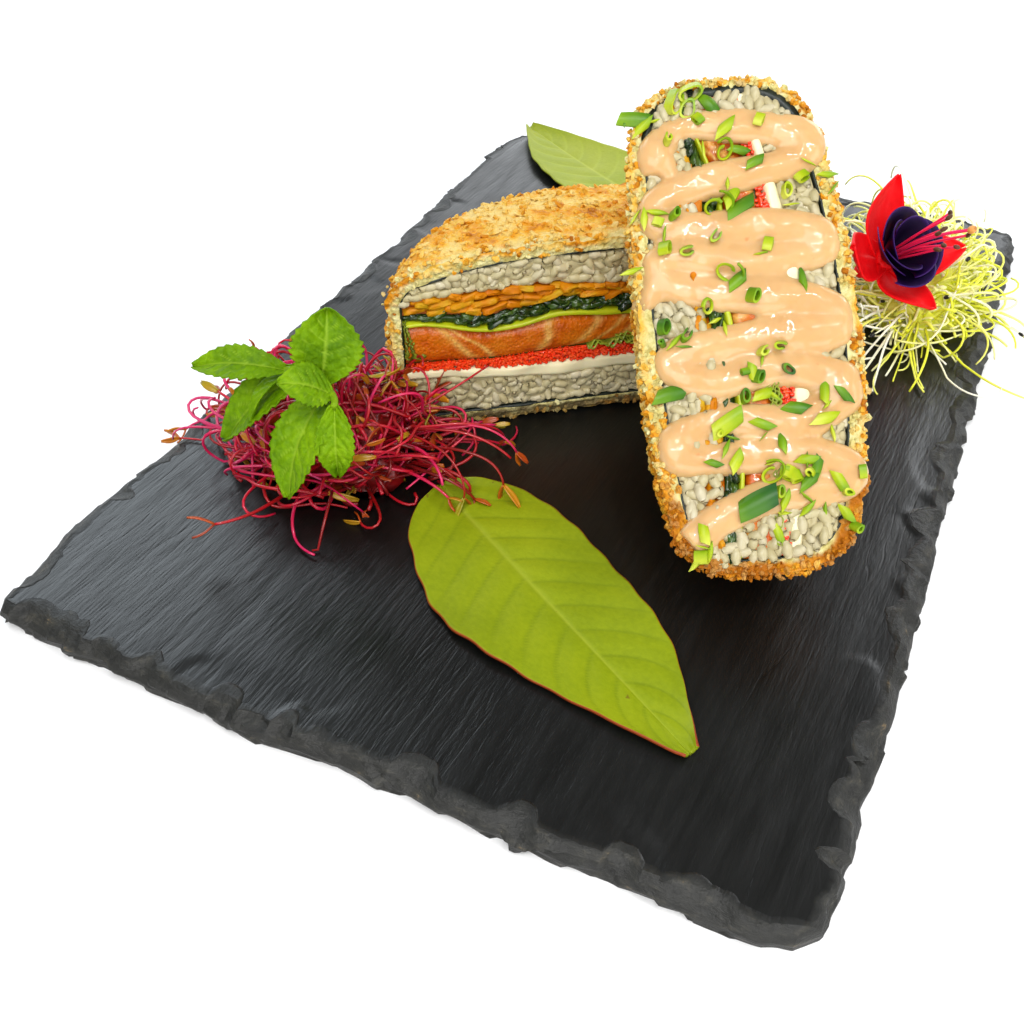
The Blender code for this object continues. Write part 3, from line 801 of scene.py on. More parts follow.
def layerLimits(half, upper, lower, x, r):
    low, top = outlineAt(half, insideInset, r)
    high = top if upper is None else np.minimum(boundaryHeight(half, upper, x) - 0.1 * mm, top)
    deep = low if lower is None else np.maximum(boundaryHeight(half, lower, x) + 0.1 * mm, low)
    middle = (high + deep) / 2
    flat = high < deep
    return np.where(flat, middle, deep), np.where(flat, middle, high)


def limitsAt(half, upper, lower, x):
    # one place's limits on the cut face
    deep, high = layerLimits(half, upper, lower, np.array([x]), np.array([abs(x)]))
    return float(deep[0]), float(high[0])


def layerBody(half, upper, lower, front, columns=200, rows=14, marks=None):
    # a slab of filling: an uneven front and plain sides going back inside the crust
    x = np.linspace(-insideRadius, insideRadius, columns) * 0.9995
    deep, high = layerLimits(half, upper, lower, x, np.abs(x))
    points, marksMade = [], []
    share = np.linspace(0, 1, rows)
    for i in range(columns):
        for t in share:
            z = lerp(deep[i], high[i], t)
            thick = high[i] - deep[i]
            swell = (1 - abs(2 * t - 1) ** 4) if thick > 0.5 * mm else 0.0
            y = front(x[i], z, t) * swell + 0.9 * mm * (1 - swell)
            points.append((x[i], y, z))
            marksMade.append(marks(x[i], z, t) if marks else 0.0)
    faces = gridFaces(columns, rows)
    start = len(points)
    depths = [0.02, 0.12, 0.35, 0.6, 0.8, 0.93, 0.99]
    for depth in depths:
        y = depth * insideRadius
        xs = x * math.sqrt(1 - depth * depth)
        low, top = layerLimits(half, upper, lower, xs, np.hypot(xs, y))
        ring = np.concatenate([squeeze(half, xs, np.full_like(xs, y), top),
                               squeeze(half, xs, np.full_like(xs, y), low)[::-1]])
        points += list(ring)
        marksMade += [0.0] * (2 * columns)
    faces += gridFaces(len(depths), 2 * columns, start, closed=True, flip=True)
    last = start + (len(depths) - 1) * 2 * columns
    faces += [(last + i, last + i + 1, last + 2 * columns - 2 - i, last + 2 * columns - 1 - i)
              for i in range(columns - 1)]
    return toWorld(half, points), faces, marksMade


def wavy(seed, scale, size, base=0.0):
    def front(x, z, t):
        return base - size * noise.noise(Vector((x * scale, seed, z * scale)))
    return front


def layerHeap(tint, *layer):
    # a heap that holds the layer's own body
    heap = Heap()
    points, faces, _ = layerBody(*layer)
    heap.put(points, faces, tint=tint)
    return heap


def foodShader(name, stops, scale, roughness, fixed=None, bump=(0.4, 0.0005), detail=3,
               weight=0.5):
    # colour from fine noise and from each body's own tint
    material, tree, shader = newShader(name, stops[0][1], roughness, fixed)
    where = whereOn(tree)
    grain = cloud(tree, where, scale, detail)
    tint = weighed(tree, (marked(tree, "tint"), weight), (grain, 1 - weight))
    colourIt(tree, shader, ramp(tree, tint, stops))
    relief(tree, shader, grain, *bump)
    return material


riceLook = {
    "length": (3.9, 5.3),
    "width": (2.3, 2.9),
    "spacing": 1.8,
    "stops": [(0.15, (0.46, 0.39, 0.20)), (0.5, (0.52, 0.455, 0.26)), (0.85, (0.59, 0.53, 0.37))],
}


def riceShader():
    return foodShader("rice", riceLook["stops"], 330, 0.3,
                      {"Specular IOR Level": 0.3, "Coat Weight": 0.12, "Coat Roughness": 0.12}, (0.2, 0.0004))


def grainShape():
    base, faces = ballShape(8, 7)
    base = base[:, [2, 0, 1]]   # long way along X
    shaped = base.copy()
    shaped[:, 0] = np.sign(base[:, 0]) * np.abs(base[:, 0]) ** 0.85
    shaped[:, 2] += 0.10 * (base[:, 0] ** 2 - 0.4)
    return shaped, faces


def scatterRice(half, upper, lower, rng, heap, low=0.0, high=0.0, within=None, proud=0.0):
    # grains pressed together over a layer's cut face, x and z in the half's own frame
    shape, faces = grainShape()
    kept = []
    margin = 1.0 * mm
    tries = 0
    misses = 0
    while misses < 900 and tries < 60000:
        tries += 1
        x = rng.uniform(-insideRadius, insideRadius)
        if within and not within(x):
            continue
        deep, top = limitsAt(half, upper, lower, x)
        deep, top = deep - low * mm, top + high * mm
        if top - deep < 1.6 * mm:
            continue
        z = rng.uniform(deep + margin, top - margin)
        space = riceLook["spacing"] * mm
        if any((x - a) ** 2 + (z - b) ** 2 < space * space for a, b in kept):
            misses += 1
            continue
        misses = 0
        kept.append((x, z))
        length, width = rng.uniform(*riceLook["length"]) * mm, rng.uniform(*riceLook["width"]) * mm
        near = min(z - deep, top - z)
        lean = rng.uniform(-1.4, 1.4) if near > 2.2 * mm else rng.uniform(-0.35, 0.35)
        into = rng.choice((0.1, 0.3, 0.5, 0.75)) * rng.choice((-1, 1))
        turn = Matrix.Rotation(lean, 3, "Y") @ Matrix.Rotation(into, 3, "Z") \
            @ Matrix.Rotation(rng.uniform(0, 6.28), 3, "X")
        squash = rng.uniform(0.85, 1.0)
        y = rng.uniform(-0.1, 0.6) * mm + abs(math.sin(into)) * length * 0.34 - proud * mm
        put = placed(shape, turn, (length / 2, width / 2, width / 2 * squash), (x, y, z))
        heap.put(toWorld(half, put), faces, tint=rng.uniform(0.1, 1.0))


def chipShape(seed):
    # a flat uneven slab, long way along X, cut face toward -Y
    base, faces = ballShape(10, 8)
    slab = base[:, [0, 2, 1]]
    slab = np.sign(slab) * np.abs(slab) ** np.array((0.55, 0.4, 0.6))
    shakes = [noise.noise(Vector(p) * 1.7 + Vector((seed, 0, seed * 2))) for p in slab]
    return slab * (1 + 0.28 * np.array(shakes))[:, None], faces


crispLook = {
    "rows": [(0.80, 2.2, 5.5), (0.52, 2.3, 6.5), (0.24, 2.6, 7)],   # share of the band, mm thick, mm long
    # the lowest stop, near-black brown, mostly colours the layer's body: painted shade in the gaps between
    # chips
    "stops": [(0.15, (0.14, 0.022, 0.0005)), (0.36, (0.50, 0.125, 0.001)), (0.58, (0.60, 0.20, 0.001)),
              (0.85, (0.54, 0.35, 0.010))],
}


def makeCrisps(half, material):
    rng = random.Random(half["seed"] + 40)
    name = half["name"]
    # the body behind the chips is tinted 0.05, near-black brown: painted shade in the gaps
    heap = layerHeap(0.05, half, "crispsTop", "seaweedTop", wavy(2, 300, 0.5 * mm, 1.4 * mm))
    shapes = [chipShape(s * 1.37) for s in range(7)]
    for share, thick, long in crispLook["rows"]:
        x = -insideRadius + rng.uniform(0, 5) * mm
        while x < insideRadius:
            length = long * rng.uniform(0.6, 1.25) * mm
            middle = x + length * 0.5
            deep, top = limitsAt(half, "crispsTop", "seaweedTop", middle)
            if top - deep > 1.5 * mm and abs(middle) < insideRadius - 1.5 * mm:
                z = lerp(deep, top, share + rng.uniform(-0.07, 0.07))
                shape, chipFaces = rng.choice(shapes)
                turn = Matrix.Rotation(rng.uniform(-0.3, 0.3), 3, "Y") \
                    @ Matrix.Rotation(rng.uniform(-0.4, 0.4), 3, "Z") \
                    @ Matrix.Rotation(rng.uniform(-0.3, 0.3), 3, "X")
                tall = min(thick * rng.uniform(0.75, 1.15) * mm, (top - deep) * 0.38)
                put = placed(shape, turn, (length * 0.52, 2.2 * mm, tall * 0.5),
                             (middle, rng.uniform(0.8, 2.6) * mm, z))
                # painted highlight: points on each chip's front face get a higher, lighter tint
                edge = np.clip(0.5 + 0.5 * (shape[:, 1] < -0.7), 0, 1)
                heap.put(toWorld(half, put), chipFaces, tint=rng.uniform(0.15, 0.75) + 0.25 * edge)
            x += length * rng.uniform(0.62, 0.85)
    piece = heap.piece(name + "_crisp_chips", material, "crisps", (name + "_crisps",))
    piece.data.set_sharp_from_angle(angle=math.radians(50))


def makeWakame(half, material):
    rng = random.Random(half["seed"] + 50)
    name = half["name"]
    heap = layerHeap(0.4, half, "seaweedTop", "avocadoTop", wavy(5, 400, 1.0 * mm, 0.35 * mm))
    base, ballFaces = ballShape(9, 7)
    shapes = [rough(base, s + 8, 1.2, 0.7) for s in range(6)]
    for _ in range(150):
        x = rng.uniform(-insideRadius + 1 * mm, insideRadius - 1 * mm)
        deep, top = limitsAt(half, "seaweedTop", "avocadoTop", x)
        if top - deep < 0.8 * mm:
            continue
        z = rng.uniform(deep + 0.5 * mm, top + 0.1 * mm)
        size = rng.uniform(0.9, 1.7) * mm
        turn = Matrix.Rotation(rng.uniform(-0.5, 0.5), 3, "Y")
        put = placed(rng.choice(shapes), turn,
                     (size * rng.uniform(1.2, 2.2), size, size * rng.uniform(0.5, 0.8)),
                     (x, rng.uniform(0.2, 1.2) * mm, z))
        heap.put(toWorld(half, put), ballFaces, tint=rng.uniform(0, 1))
    heap.piece(name + "_wet_seaweed", material, "seaweed", (name + "_seaweed",))


salmonLook = {
    # fat lines over the face: x at the top, x at the bottom, bend and width, in mm
    "lines": [(-46, -36, 1, 1.5), (-43, -31, 3, 1.0), (-15, -18, 1, 1.4), (-1, -9, 2, 1.3), (7, -3, 1, 0.8),
              (11, 3, 2, 1.3), (20, 12, 1.5, 0.8), (31, 22, 2, 1.3), (41, 34, 1, 0.8), (50, 45, 1, 1.0)],
}


def salmonFat(half):
    def mark(x, z, t):
        if half["mirrored"]:
            x = -x
        x = x / mm
        best = 0.0
        for topX, lowX, bend, width in salmonLook["lines"]:
            line = lerp(lowX, topX, t) + bend * math.sin(math.pi * t)
            line += noise.noise(Vector((t * 3, lowX, 0))) * 0.8
            best = max(best, math.exp(-((x - line) / width) ** 2))
        return best
    return mark


def salmonShader():
    material, tree, shader = newShader("salmon", (0.62, 0.17, 0.04), 0.28,
                                       {"Subsurface Weight": 0.15, "Subsurface Scale": 0.002,
                                        "Subsurface Radius": (1.0, 0.35, 0.15), "Coat Weight": 0.5,
                                        "Coat Roughness": 0.06, "Specular IOR Level": 0.2})
    where = whereOn(tree)
    flesh = cloud(tree, where, 130, 4, 0.6)
    fibre = cloud(tree, whereOn(tree, (1, 1, 0.35)), 900, 3)
    base = ramp(tree, flesh, [(0.3, (0.41, 0.053, 0.001)), (0.5, (0.58, 0.120, 0.003)),
                              (0.72, (0.61, 0.175, 0.008))])
    pale = ramp(tree, fibre, [(0.3, (0.62, 0.26, 0.035)), (0.7, (0.76, 0.42, 0.11))])
    colourIt(tree, shader, blendColour(tree, marked(tree, "fat"), base, pale))
    drops = cells(tree, where, 1100)
    relief(tree, shader, plus(tree, fibre, times(tree, drops, 0.8)), 0.6, 0.0006)
    return material


def makeSalmon(half, material):
    name = half["name"]

    def front(x, z, t):
        slow = noise.noise(Vector((x * 60, 7, z * 60))) * 0.5 * mm
        return -0.35 * mm - slow - 0.15 * mm * noise.noise(Vector((x * 500, 2, z * 300)))

    points, faces, marks = layerBody(half, "salmonTop", "salmonLow", front, 420, 30, salmonFat(half))
    makePiece(name + "_salmon_slice", points, faces, material, (name + "_salmon",), {"fat": marks})


def makeLettuce(half, material):
    # thin frilled sheets squeezed under the salmon
    rng = random.Random(half["seed"] + 60)
    name = half["name"]
    heap = layerHeap(0.12, half, "lettuceTop", "roeTop", wavy(3, 350, 0.6 * mm, 0.9 * mm), 160, 8)
    turnOver = -1 if half["mirrored"] else 1
    for sheet in range(5):
        count, rows = 150, 7
        start, end = (-4, 53) if sheet < 2 else (4, 53)
        grid, tint = [], []
        phase = rng.uniform(0, 6)
        for i in range(count):
            x = lerp(start, end, i / (count - 1)) * mm * turnOver
            x = max(-insideRadius + 0.6 * mm, min(insideRadius - 0.6 * mm, x))
            deep, top = limitsAt(half, "lettuceTop", "roeTop", x)
            level = lerp(deep, top, 0.25 + 0.14 * sheet)
            for k in range(rows):
                out = k / (rows - 1)
                ripple = math.sin(i * 0.42 + phase + 1.6 * noise.noise(Vector((i * 0.05, sheet, 0)))) * 0.75 \
                    + math.sin(i * 0.93 + phase * 2) * 0.35
                z = level + ripple * out ** 2 * min(1.0, (top - deep) / (2.4 * mm)) * 1.2 * mm
                grid.append((x, lerp(4.0, -1.3, out) * mm + 0.35 * mm * ripple * out, z))
                # painted shade: each sheet's tint drops toward its inner edge, deep in the layer
                tint.append(lerp(0.35, 1.0, out ** 3) * rng.uniform(0.8, 1.0))
        heap.put(toWorld(half, grid), gridFaces(count, rows), tint=tint)
    if not half["mirrored"]:
        # a leaf between the salmon's slanted end and the seaweed sheet, dark partly by painted shade: its
        # tint follows its folds
        rows, columns = 50, 26
        grid, tint = [], []
        for i in range(rows):
            z = lerp(24.3, 36.4, i / (rows - 1)) * mm
            outer = valueAt([(burger["roeTop"][0] * mm, -0.5), (30 * mm, 0), (38 * mm, -0.4)], z) * mm \
                - insideRadius
            wide = valueAt([(24.3, 6.6), (25.2, 5.2), (26.7, 3.4), (31.6, 2.1), (36.4, 0.9)], z / mm) * mm
            for k in range(columns):
                t = k / (columns - 1)
                wave = math.sin(t * 13 + 4 * noise.noise(Vector((i * 0.22, 5, 0)))
                                + 2 * noise.noise(Vector((t * 5, i * 0.3, 1))))
                grid.append((outer + wide * t, (-0.4 - 0.85 * wave) * mm + 1.6 * mm * (2 * t - 1) ** 6,
                             z + 0.5 * mm * wave))
                # painted shade in the troughs of the folds, lighter tint on the crests
                tint.append(0.25 + 0.45 * wave + 0.25 * noise.noise(Vector((t * 8, i * 0.5, 3))))
        heap.put(toWorld(half, grid), gridFaces(rows, columns), tint=tint)
    piece = heap.piece(name + "_lettuce_frill", material, "lettuce", (name + "_lettuce",))
    thicken(piece, 0.25 * mm)


def makeRoe(half, material, count):
    rng = random.Random(half["seed"] + 70)
    name = half["name"]
    heap = layerHeap(0.5, half, "roeTop", "creamTop", wavy(4, 700, 0.4 * mm), 160, 8)
    shape, ballFaces = ballShape(7, 5)
    for _ in range(count):
        x = rng.uniform(-insideRadius + 0.7 * mm, insideRadius - 0.7 * mm)
        deep, top = limitsAt(half, "roeTop", "creamTop", x)
        z = rng.uniform(deep - 0.6 * mm, top + 0.5 * mm)
        size = rng.uniform(0.45, 0.6) * mm
        put = placed(shape, Matrix.Identity(3), (size, size, size), (x, rng.uniform(-0.7, 0.3) * mm, z))
        heap.put(toWorld(half, put), ballFaces, tint=rng.uniform(0, 1))
    heap.piece(name + "_roe_beads", material, "roe", (name + "_roe",))


def leaningEnds(x):
    x = x / mm
    edge = 2.5 * noise.noise(Vector((x * 0.7, 4, 0)))
    return x < -44 + edge or x > 47.5 + edge


def makeFilling():
    rice = riceShader()
    crisps = foodShader("crisps", crispLook["stops"], 260, 0.45, {"Specular IOR Level": 0.2},
                        (0.6, 0.0008), 4)
    wakame = foodShader("wakame", [(0.15, (0.004, 0.014, 0.003)), (0.5, (0.018, 0.050, 0.006)),
                                   (0.9, (0.075, 0.14, 0.012))],
                        300, 0.24, {"Coat Weight": 0.2}, (0.5, 0.0006))
    avocado = foodShader("avocado", [(0.2, (0.42, 0.48, 0.005)), (0.45, (0.56, 0.62, 0.015)),
                                     (0.9, (0.66, 0.68, 0.05))], 160, 0.38,
                         {"Subsurface Weight": 0.15, "Subsurface Scale": 0.003}, (0.3, 0.0005))
    salmon = salmonShader()
    # the lettuce's dark low stops also carry the frills' painted shade
    lettuce = foodShader("lettuce", [(0.12, (0.025, 0.022, 0.003)), (0.4, (0.075, 0.10, 0.006)),
                                     (0.85, (0.36, 0.44, 0.03))], 300, 0.35, {"Subsurface Weight": 0.1,
                                                                            "Subsurface Scale": 0.001})
    roe = foodShader("roe", [(0.1, (0.94, 0.030, 0.004)), (0.5, (1.0, 0.055, 0.008)),
                             (0.9, (1.0, 0.14, 0.025))],
                     500, 0.2, {"Coat Weight": 0.3}, (0.05, 0.0001))
    cream = foodShader("cream", [(0.2, (0.88, 0.79, 0.50)), (0.8, (0.94, 0.87, 0.62))], 120, 0.34,
                       {"Subsurface Weight": 0.1, "Subsurface Scale": 0.004}, (0.25, 0.0008))
    for half in (lyingHalf, leaningHalf):
        name = half["name"]
        rng = random.Random(half["seed"] + 30)
        for suffix, upper, lower, low, high in (("rice_top", None, "crispsTop", 1.0, 0.6),
                                                ("rice_bottom", "riceBottomTop", None, 0.6, -0.3)):
            heap = layerHeap(0.5, half, upper, lower, wavy(1, 260, 0.6 * mm, 0.45 * mm))
            scatterRice(half, upper, lower, rng, heap, low, high)
            if half["mirrored"] and suffix == "rice_bottom":
                # pressed over the other layers at both ends
                scatterRice(half, None, None, rng, heap, 0.3, 0.3, leaningEnds, 0.9)
                scatterRice(half, "crispsTop", "seaweedTop", rng, heap, -0.4, 2.5,
                            lambda x: x > -40 * mm, 0.7)
            heap.piece(name + "_" + suffix + "_grains", rice, suffix, (name + "_" + suffix,))
            print(name, suffix, heap.count)
        makeCrisps(half, crisps)
        makeWakame(half, wakame)
        spread = layerHeap(0.0, half, "avocadoTop", "salmonTop", wavy(6, 120, 0.5 * mm, -0.75 * mm), 300, 12)
        spread.piece(name + "_avocado_slice", avocado, "avocado", (name + "_avocado",))
        makeSalmon(half, salmon)
        makeLettuce(half, lettuce)
        makeRoe(half, roe, 1350 if name == "lying" else 420)
        spread = layerHeap(0.0, half, "creamTop", "creamLow", wavy(8, 130, 1.1 * mm, -0.95 * mm), 300, 16)
        spread.piece(name + "_cream_spread", cream, "cream", (name + "_cream",))
        print(name, "filling")


# Sauce over the leaning half's cut face, and the chopped scallions on it

sauceLook = {
    "route": [
        (37, 43), (43, 43), (48, 37), (47.5, 25), (45, 13), (41, 8), (37, 12), (35, 27), (33, 38),
        (29.5, 45), (25, 44.5), (23, 35), (22, 18), (19, 8), (15, 9), (14, 25), (17, 38), (16, 45.5),
        (10.5, 44), (7, 34), (5, 18), (0, 5), (-4, 7), (-4, 20), (-5, 35), (-7, 45), (-11, 44),
        (-14, 35), (-12, 21), (-16, 7), (-20, 7), (-25, 17), (-23, 34), (-26, 45), (-31, 45),
        (-32, 36), (-32, 20), (-37, 7), (-41, 12), (-42, 27), (-46, 38), (-51, 45),
    ],
    "drip": [(12, 46), (8, 48.5), (5, 51.5)],
    "edges": (5, 48),   # the face's long edges, which the lobes hang over
    "width": 9.4 * mm,
    "thick": 2.7 * mm,
    "voxel": 0.8 * mm,
}


def sauceShader():
    material, tree, shader = newShader("sauce", (0.73, 0.51, 0.24), 0.35,
                                       {"Subsurface Weight": 0.5, "Subsurface Scale": 0.004,
                                        "Subsurface Radius": (1.0, 0.7, 0.45), "Coat Weight": 0.6,
                                        "Coat Roughness": 0.02, "Specular IOR Level": 0.15})
    where = whereOn(tree)
    slow = cloud(tree, where, 70, 3)
    specks = cloud(tree, where, 210, 2)
    base = ramp(tree, slow, [(0.3, (0.655, 0.38, 0.155)), (0.7, (0.725, 0.44, 0.195))])
    dots = ramp(tree, specks, [(0.70, grey(0)), (0.76, grey(1))])
    colourIt(tree, shader, blendColour(tree, dots, base, (0.85, 0.28, 0.10)))
    relief(tree, shader, cloud(tree, where, 190, 1), 0.55, 0.0018)
    return material


def makeSauce():
    curve = bpy.data.curves.new("sauce_route", "CURVE")
    curve.dimensions = "3D"
    curve.bevel_depth = sauceLook["width"] / 2
    curve.bevel_resolution = 4
    curve.use_fill_caps = True
    for name, count, wide in (("route", 300, 0.96), ("drip", 12, 0.62)):
        path = smoothThrough([(x * mm, z * mm, 0) for x, z in sauceLook[name]], count)
        line = curve.splines.new("POLY")
        line.points.add(len(path) - 1)
        for index, (knot, point) in enumerate(zip(line.points, path)):
            knot.co = (point.x, 0, point.y, 1)
            edge = (27 * mm - point.y) / (22 * mm)   # wider toward the low side
            knot.radius = wide + 0.08 * edge + 0.32 * noise.noise(Vector((index * 0.10, 0, 0)))
    holder = newObject("sauce_holder", curve)
    bpy.context.view_layer.update()
    mesh = bpy.data.meshes.new_from_object(holder.evaluated_get(bpy.context.evaluated_depsgraph_get()))
    bpy.data.objects.remove(holder)
    mesh.transform(Matrix.Diagonal((1, 2 * sauceLook["thick"] / sauceLook["width"], 1, 1)))
    bead = newObject("sauce_bead", mesh)
    remesh = bead.modifiers.new("merge", "REMESH")
    remesh.mode = "VOXEL"
    remesh.voxel_size = sauceLook["voxel"]
    soft = bead.modifiers.new("soften", "SMOOTH")
    soft.factor = 0.6
    soft.iterations = 7
    bpy.context.view_layer.update()
    merged = bpy.data.meshes.new_from_object(bead.evaluated_get(bpy.context.evaluated_depsgraph_get()))
    bpy.data.objects.remove(bead)
    low, top = (edge * mm for edge in sauceLook["edges"])
    points = []
    for vert in merged.vertices:
        x, y, z = vert.co
        y = min(y, 0.2 * mm) - 0.35 * mm * noise.noise(Vector((x * 150, 0, z * 150))) \
            - 0.10 * mm * noise.noise(Vector((x * 420, 3, z * 420)))
        over = max(0.0, low - z, z - top)
        y += 0.35 * over * over / mm * 0.5
        points.append((x, y, z))
    faces = [tuple(face.vertices) for face in merged.polygons]
    piece = makePiece("leaning_sauce_zigzag", toWorld(leaningHalf, points), faces, sauceShader(),
                      ("leaning_sauce",))
    print("sauce", len(points))
    return piece


scallionLook = {
    # kind, x along the face and z up it in mm, size in mm, turn in degrees, tint from pale to dark
    "pieces": [
        ("ring", 54, 38, 4.6, 20, 0.3), ("ring", 56, 34, 4.4, 80, 0.25), ("ring", 52, 35, 4.0, 50, 0.35),
        ("strip", 51, 48, 7.0, 100, 0.7), ("strip", 49, 46, 5.0, 60, 0.35),
        ("strip", 53, 30, 5.0, 150, 0.75), ("ring", 44, 41, 1.9, 10, 0.3), ("strip", 46, 27, 5.0, 60, 0.3),
        ("curl", 41, 28, 3.0, 30, 0.35), ("strip", 41, 24, 4.5, 110, 0.7), ("strip", 37, 21, 4.5, 70, 0.7),
        ("ring", 47, 19, 2.6, 30, 0.15), ("ring", 33, 10, 2.8, 60, 0.3), ("strip", 33, 4, 3.4, 100, 0.4),
        ("ring", 30, 14, 2.8, 0, 0.15), ("curl", 28, 31, 4.2, 80, 0.4), ("strip", 30, 27, 6.0, 40, 0.35),
        ("strip", 27, 25, 8.0, 60, 0.8), ("ring", 26, 41, 2.2, 30, 0.7), ("strip", 26, 48, 3.6, 20, 0.2),
        ("strip", 27, 45, 3.0, 120, 0.3), ("ring", 20, 32, 2.6, 40, 0.5), ("ring", 18, 44, 2.8, 10, 0.35),
        ("ring", 17, 39, 2.6, 80, 0.4), ("ring", 17, 20, 2.6, 20, 0.25), ("strip", 14, 52, 3.2, 90, 0.25),
        ("strip", 8, 13, 4.2, 10, 0.75), ("curl", 12, 30, 3.8, 120, 0.4), ("strip", 9, 28, 5.0, 60, 0.7),
        ("ring", 5, 25, 2.6, 20, 0.55), ("curl", 4, 36, 2.2, 0, 0.25), ("ring", 0, 46, 3.0, 0, 0.85),
        ("ring", -3, 41, 2.6, 30, 0.8), ("strip", -4, 44, 3.2, 60, 0.4), ("strip", -2, 32, 2.4, 10, 0.2),
        ("ring", -8, 24, 2.2, 50, 0.25), ("ring", -7, 20, 2.2, 110, 0.4), ("strip", -13, 27, 4.0, 0, 0.3),
        ("ring", -14, 26, 2.4, 30, 0.8), ("ring", -13, 19, 2.4, 140, 0.95),
        ("strip", -16, 46, 8.0, 80, 0.85), ("ring", -18, 29, 2.6, 0, 0.75),
        ("strip", -18, 25, 4.4, 80, 0.3), ("strip", -19, 11, 5.2, 10, 0.4),
        ("strip", -20, 7, 4.2, 150, 0.8), ("strip", -22, 18, 5.0, 110, 0.8),
        ("strip", -24, 34, 8.2, 60, 0.3), ("strip", -25, 26, 5.0, 120, 0.5),
        ("strip", -25, 12, 5.2, 90, 0.15), ("strip", -30, 22, 3.6, 10, 0.6),
        ("strip", -30, 35, 3.0, 40, 0.55), ("strip", -33, 33, 4.6, 40, 0.25),
        ("strip", -33, 38, 3.4, 120, 0.7), ("curl", -36, 25, 3.6, 50, 0.3), ("ring", -36, 22, 2.4, 10, 0.3),
        ("strip", -34, 17, 4.4, 100, 0.4), ("strip", -36, 15, 5.0, 20, 0.75),
        ("strip", -39, 17, 5.2, 60, 0.8), ("strip", -40, 10, 5.4, 160, 0.35),
        ("ring", -41, 24, 2.4, 20, 0.45), ("ring", -38, 20, 2.2, 80, 0.3),
        ("strip", -43, 29, 9.5, 70, 0.95), ("strip", -43, 23, 4.0, 40, 0.35),
        ("strip", -45, 18, 3.4, 60, 0.4), ("ring", -38, 5, 2.4, 0, 0.4), ("strip", -49, 42, 4.4, 0, 0.2),
        ("strip", -53, 41, 3.0, 20, 0.25), ("strip", -55, 44, 3.2, 60, 0.2),
        ("strip", -50, 25, 4.6, 170, 0.35), ("strip", -46, 14, 2.4, 20, 0.5),
        ("strip", -47, 9, 4.0, 160, 0.35),
    ],
}


def scallionShader():
    return foodShader("scallion", [(0.05, (0.66, 0.70, 0.10)), (0.28, (0.42, 0.51, 0.008)),
                                   (0.52, (0.19, 0.35, 0.005)), (0.8, (0.06, 0.185, 0.006)),
                                   (1.0, (0.02, 0.10, 0.016))],
                      260, 0.36, {"Specular IOR Level": 0.3},
                      (0.2, 0.0004), weight=0.8)


def scallionRing(size, gap, tall):
    # a slice of a hollow leaf: a band around an uneven loop
    count = 26
    wall = 0.62 * mm
    radius = size * mm
    flat = 0.72
    points, faces = [], []
    for i in range(count):
        a = gap + (2 * math.pi - 2 * gap) * i / (count - 1) if gap else 2 * math.pi * i / count
        wobble = 1 + 0.12 * math.sin(2 * a + size * 5) + 0.05 * math.sin(3 * a)
        for r, z in ((radius * wobble - wall, -tall), (radius * wobble, -tall),
                     (radius * wobble, tall), (radius * wobble - wall, tall)):
            points.append((r * math.cos(a), r * flat * math.sin(a), z * mm / 2))
    loops = count - 1 if gap else count
    for i in range(loops):
        j = (i + 1) % count
        for k in range(4):
            m = (k + 1) % 4
            faces.append((4 * i + k, 4 * j + k, 4 * j + m, 4 * i + m))
    if gap:
        faces += [(0, 1, 2, 3), (4 * count - 1, 4 * count - 2, 4 * count - 3, 4 * count - 4)]
    return np.array(points), faces


def scallionStrip(size, wide, bow, skew):
    # a slanted cut of a leaf, bowed along and across
    rows, columns = 9, 6
    points = []
    for layer in (0, 1):
        for i in range(rows):
            for j in range(columns):
                u, v = i / (rows - 1) * 2 - 1, j / (columns - 1) * 2 - 1
                x = u * size * 0.5 + v * skew
                y = v * wide * 0.5 * (1 - 0.12 * u * u)
                z = bow * (1 - u * u) + 0.22 * wide * (1 - v * v) + (0.45 if layer else 0)
                points.append((x * mm, y * mm, z * mm))
    return np.array(points), sheetFaces(rows, columns, flip=True)


def scallionCurl(size):
    # a thin sliver rolled into a loose spiral
    count = 34
    path = []
    for i in range(count):
        t = i / (count - 1)
        a = 0.4 + 7.2 * t
        r = size * (0.35 + 0.75 * t)
        path.append((r * math.cos(a) * mm, r * 0.7 * math.sin(a) * mm, (0.3 + 1.1 * t) * mm))
    return tubeThrough(path, 0.62 * mm, 6, 0.55)


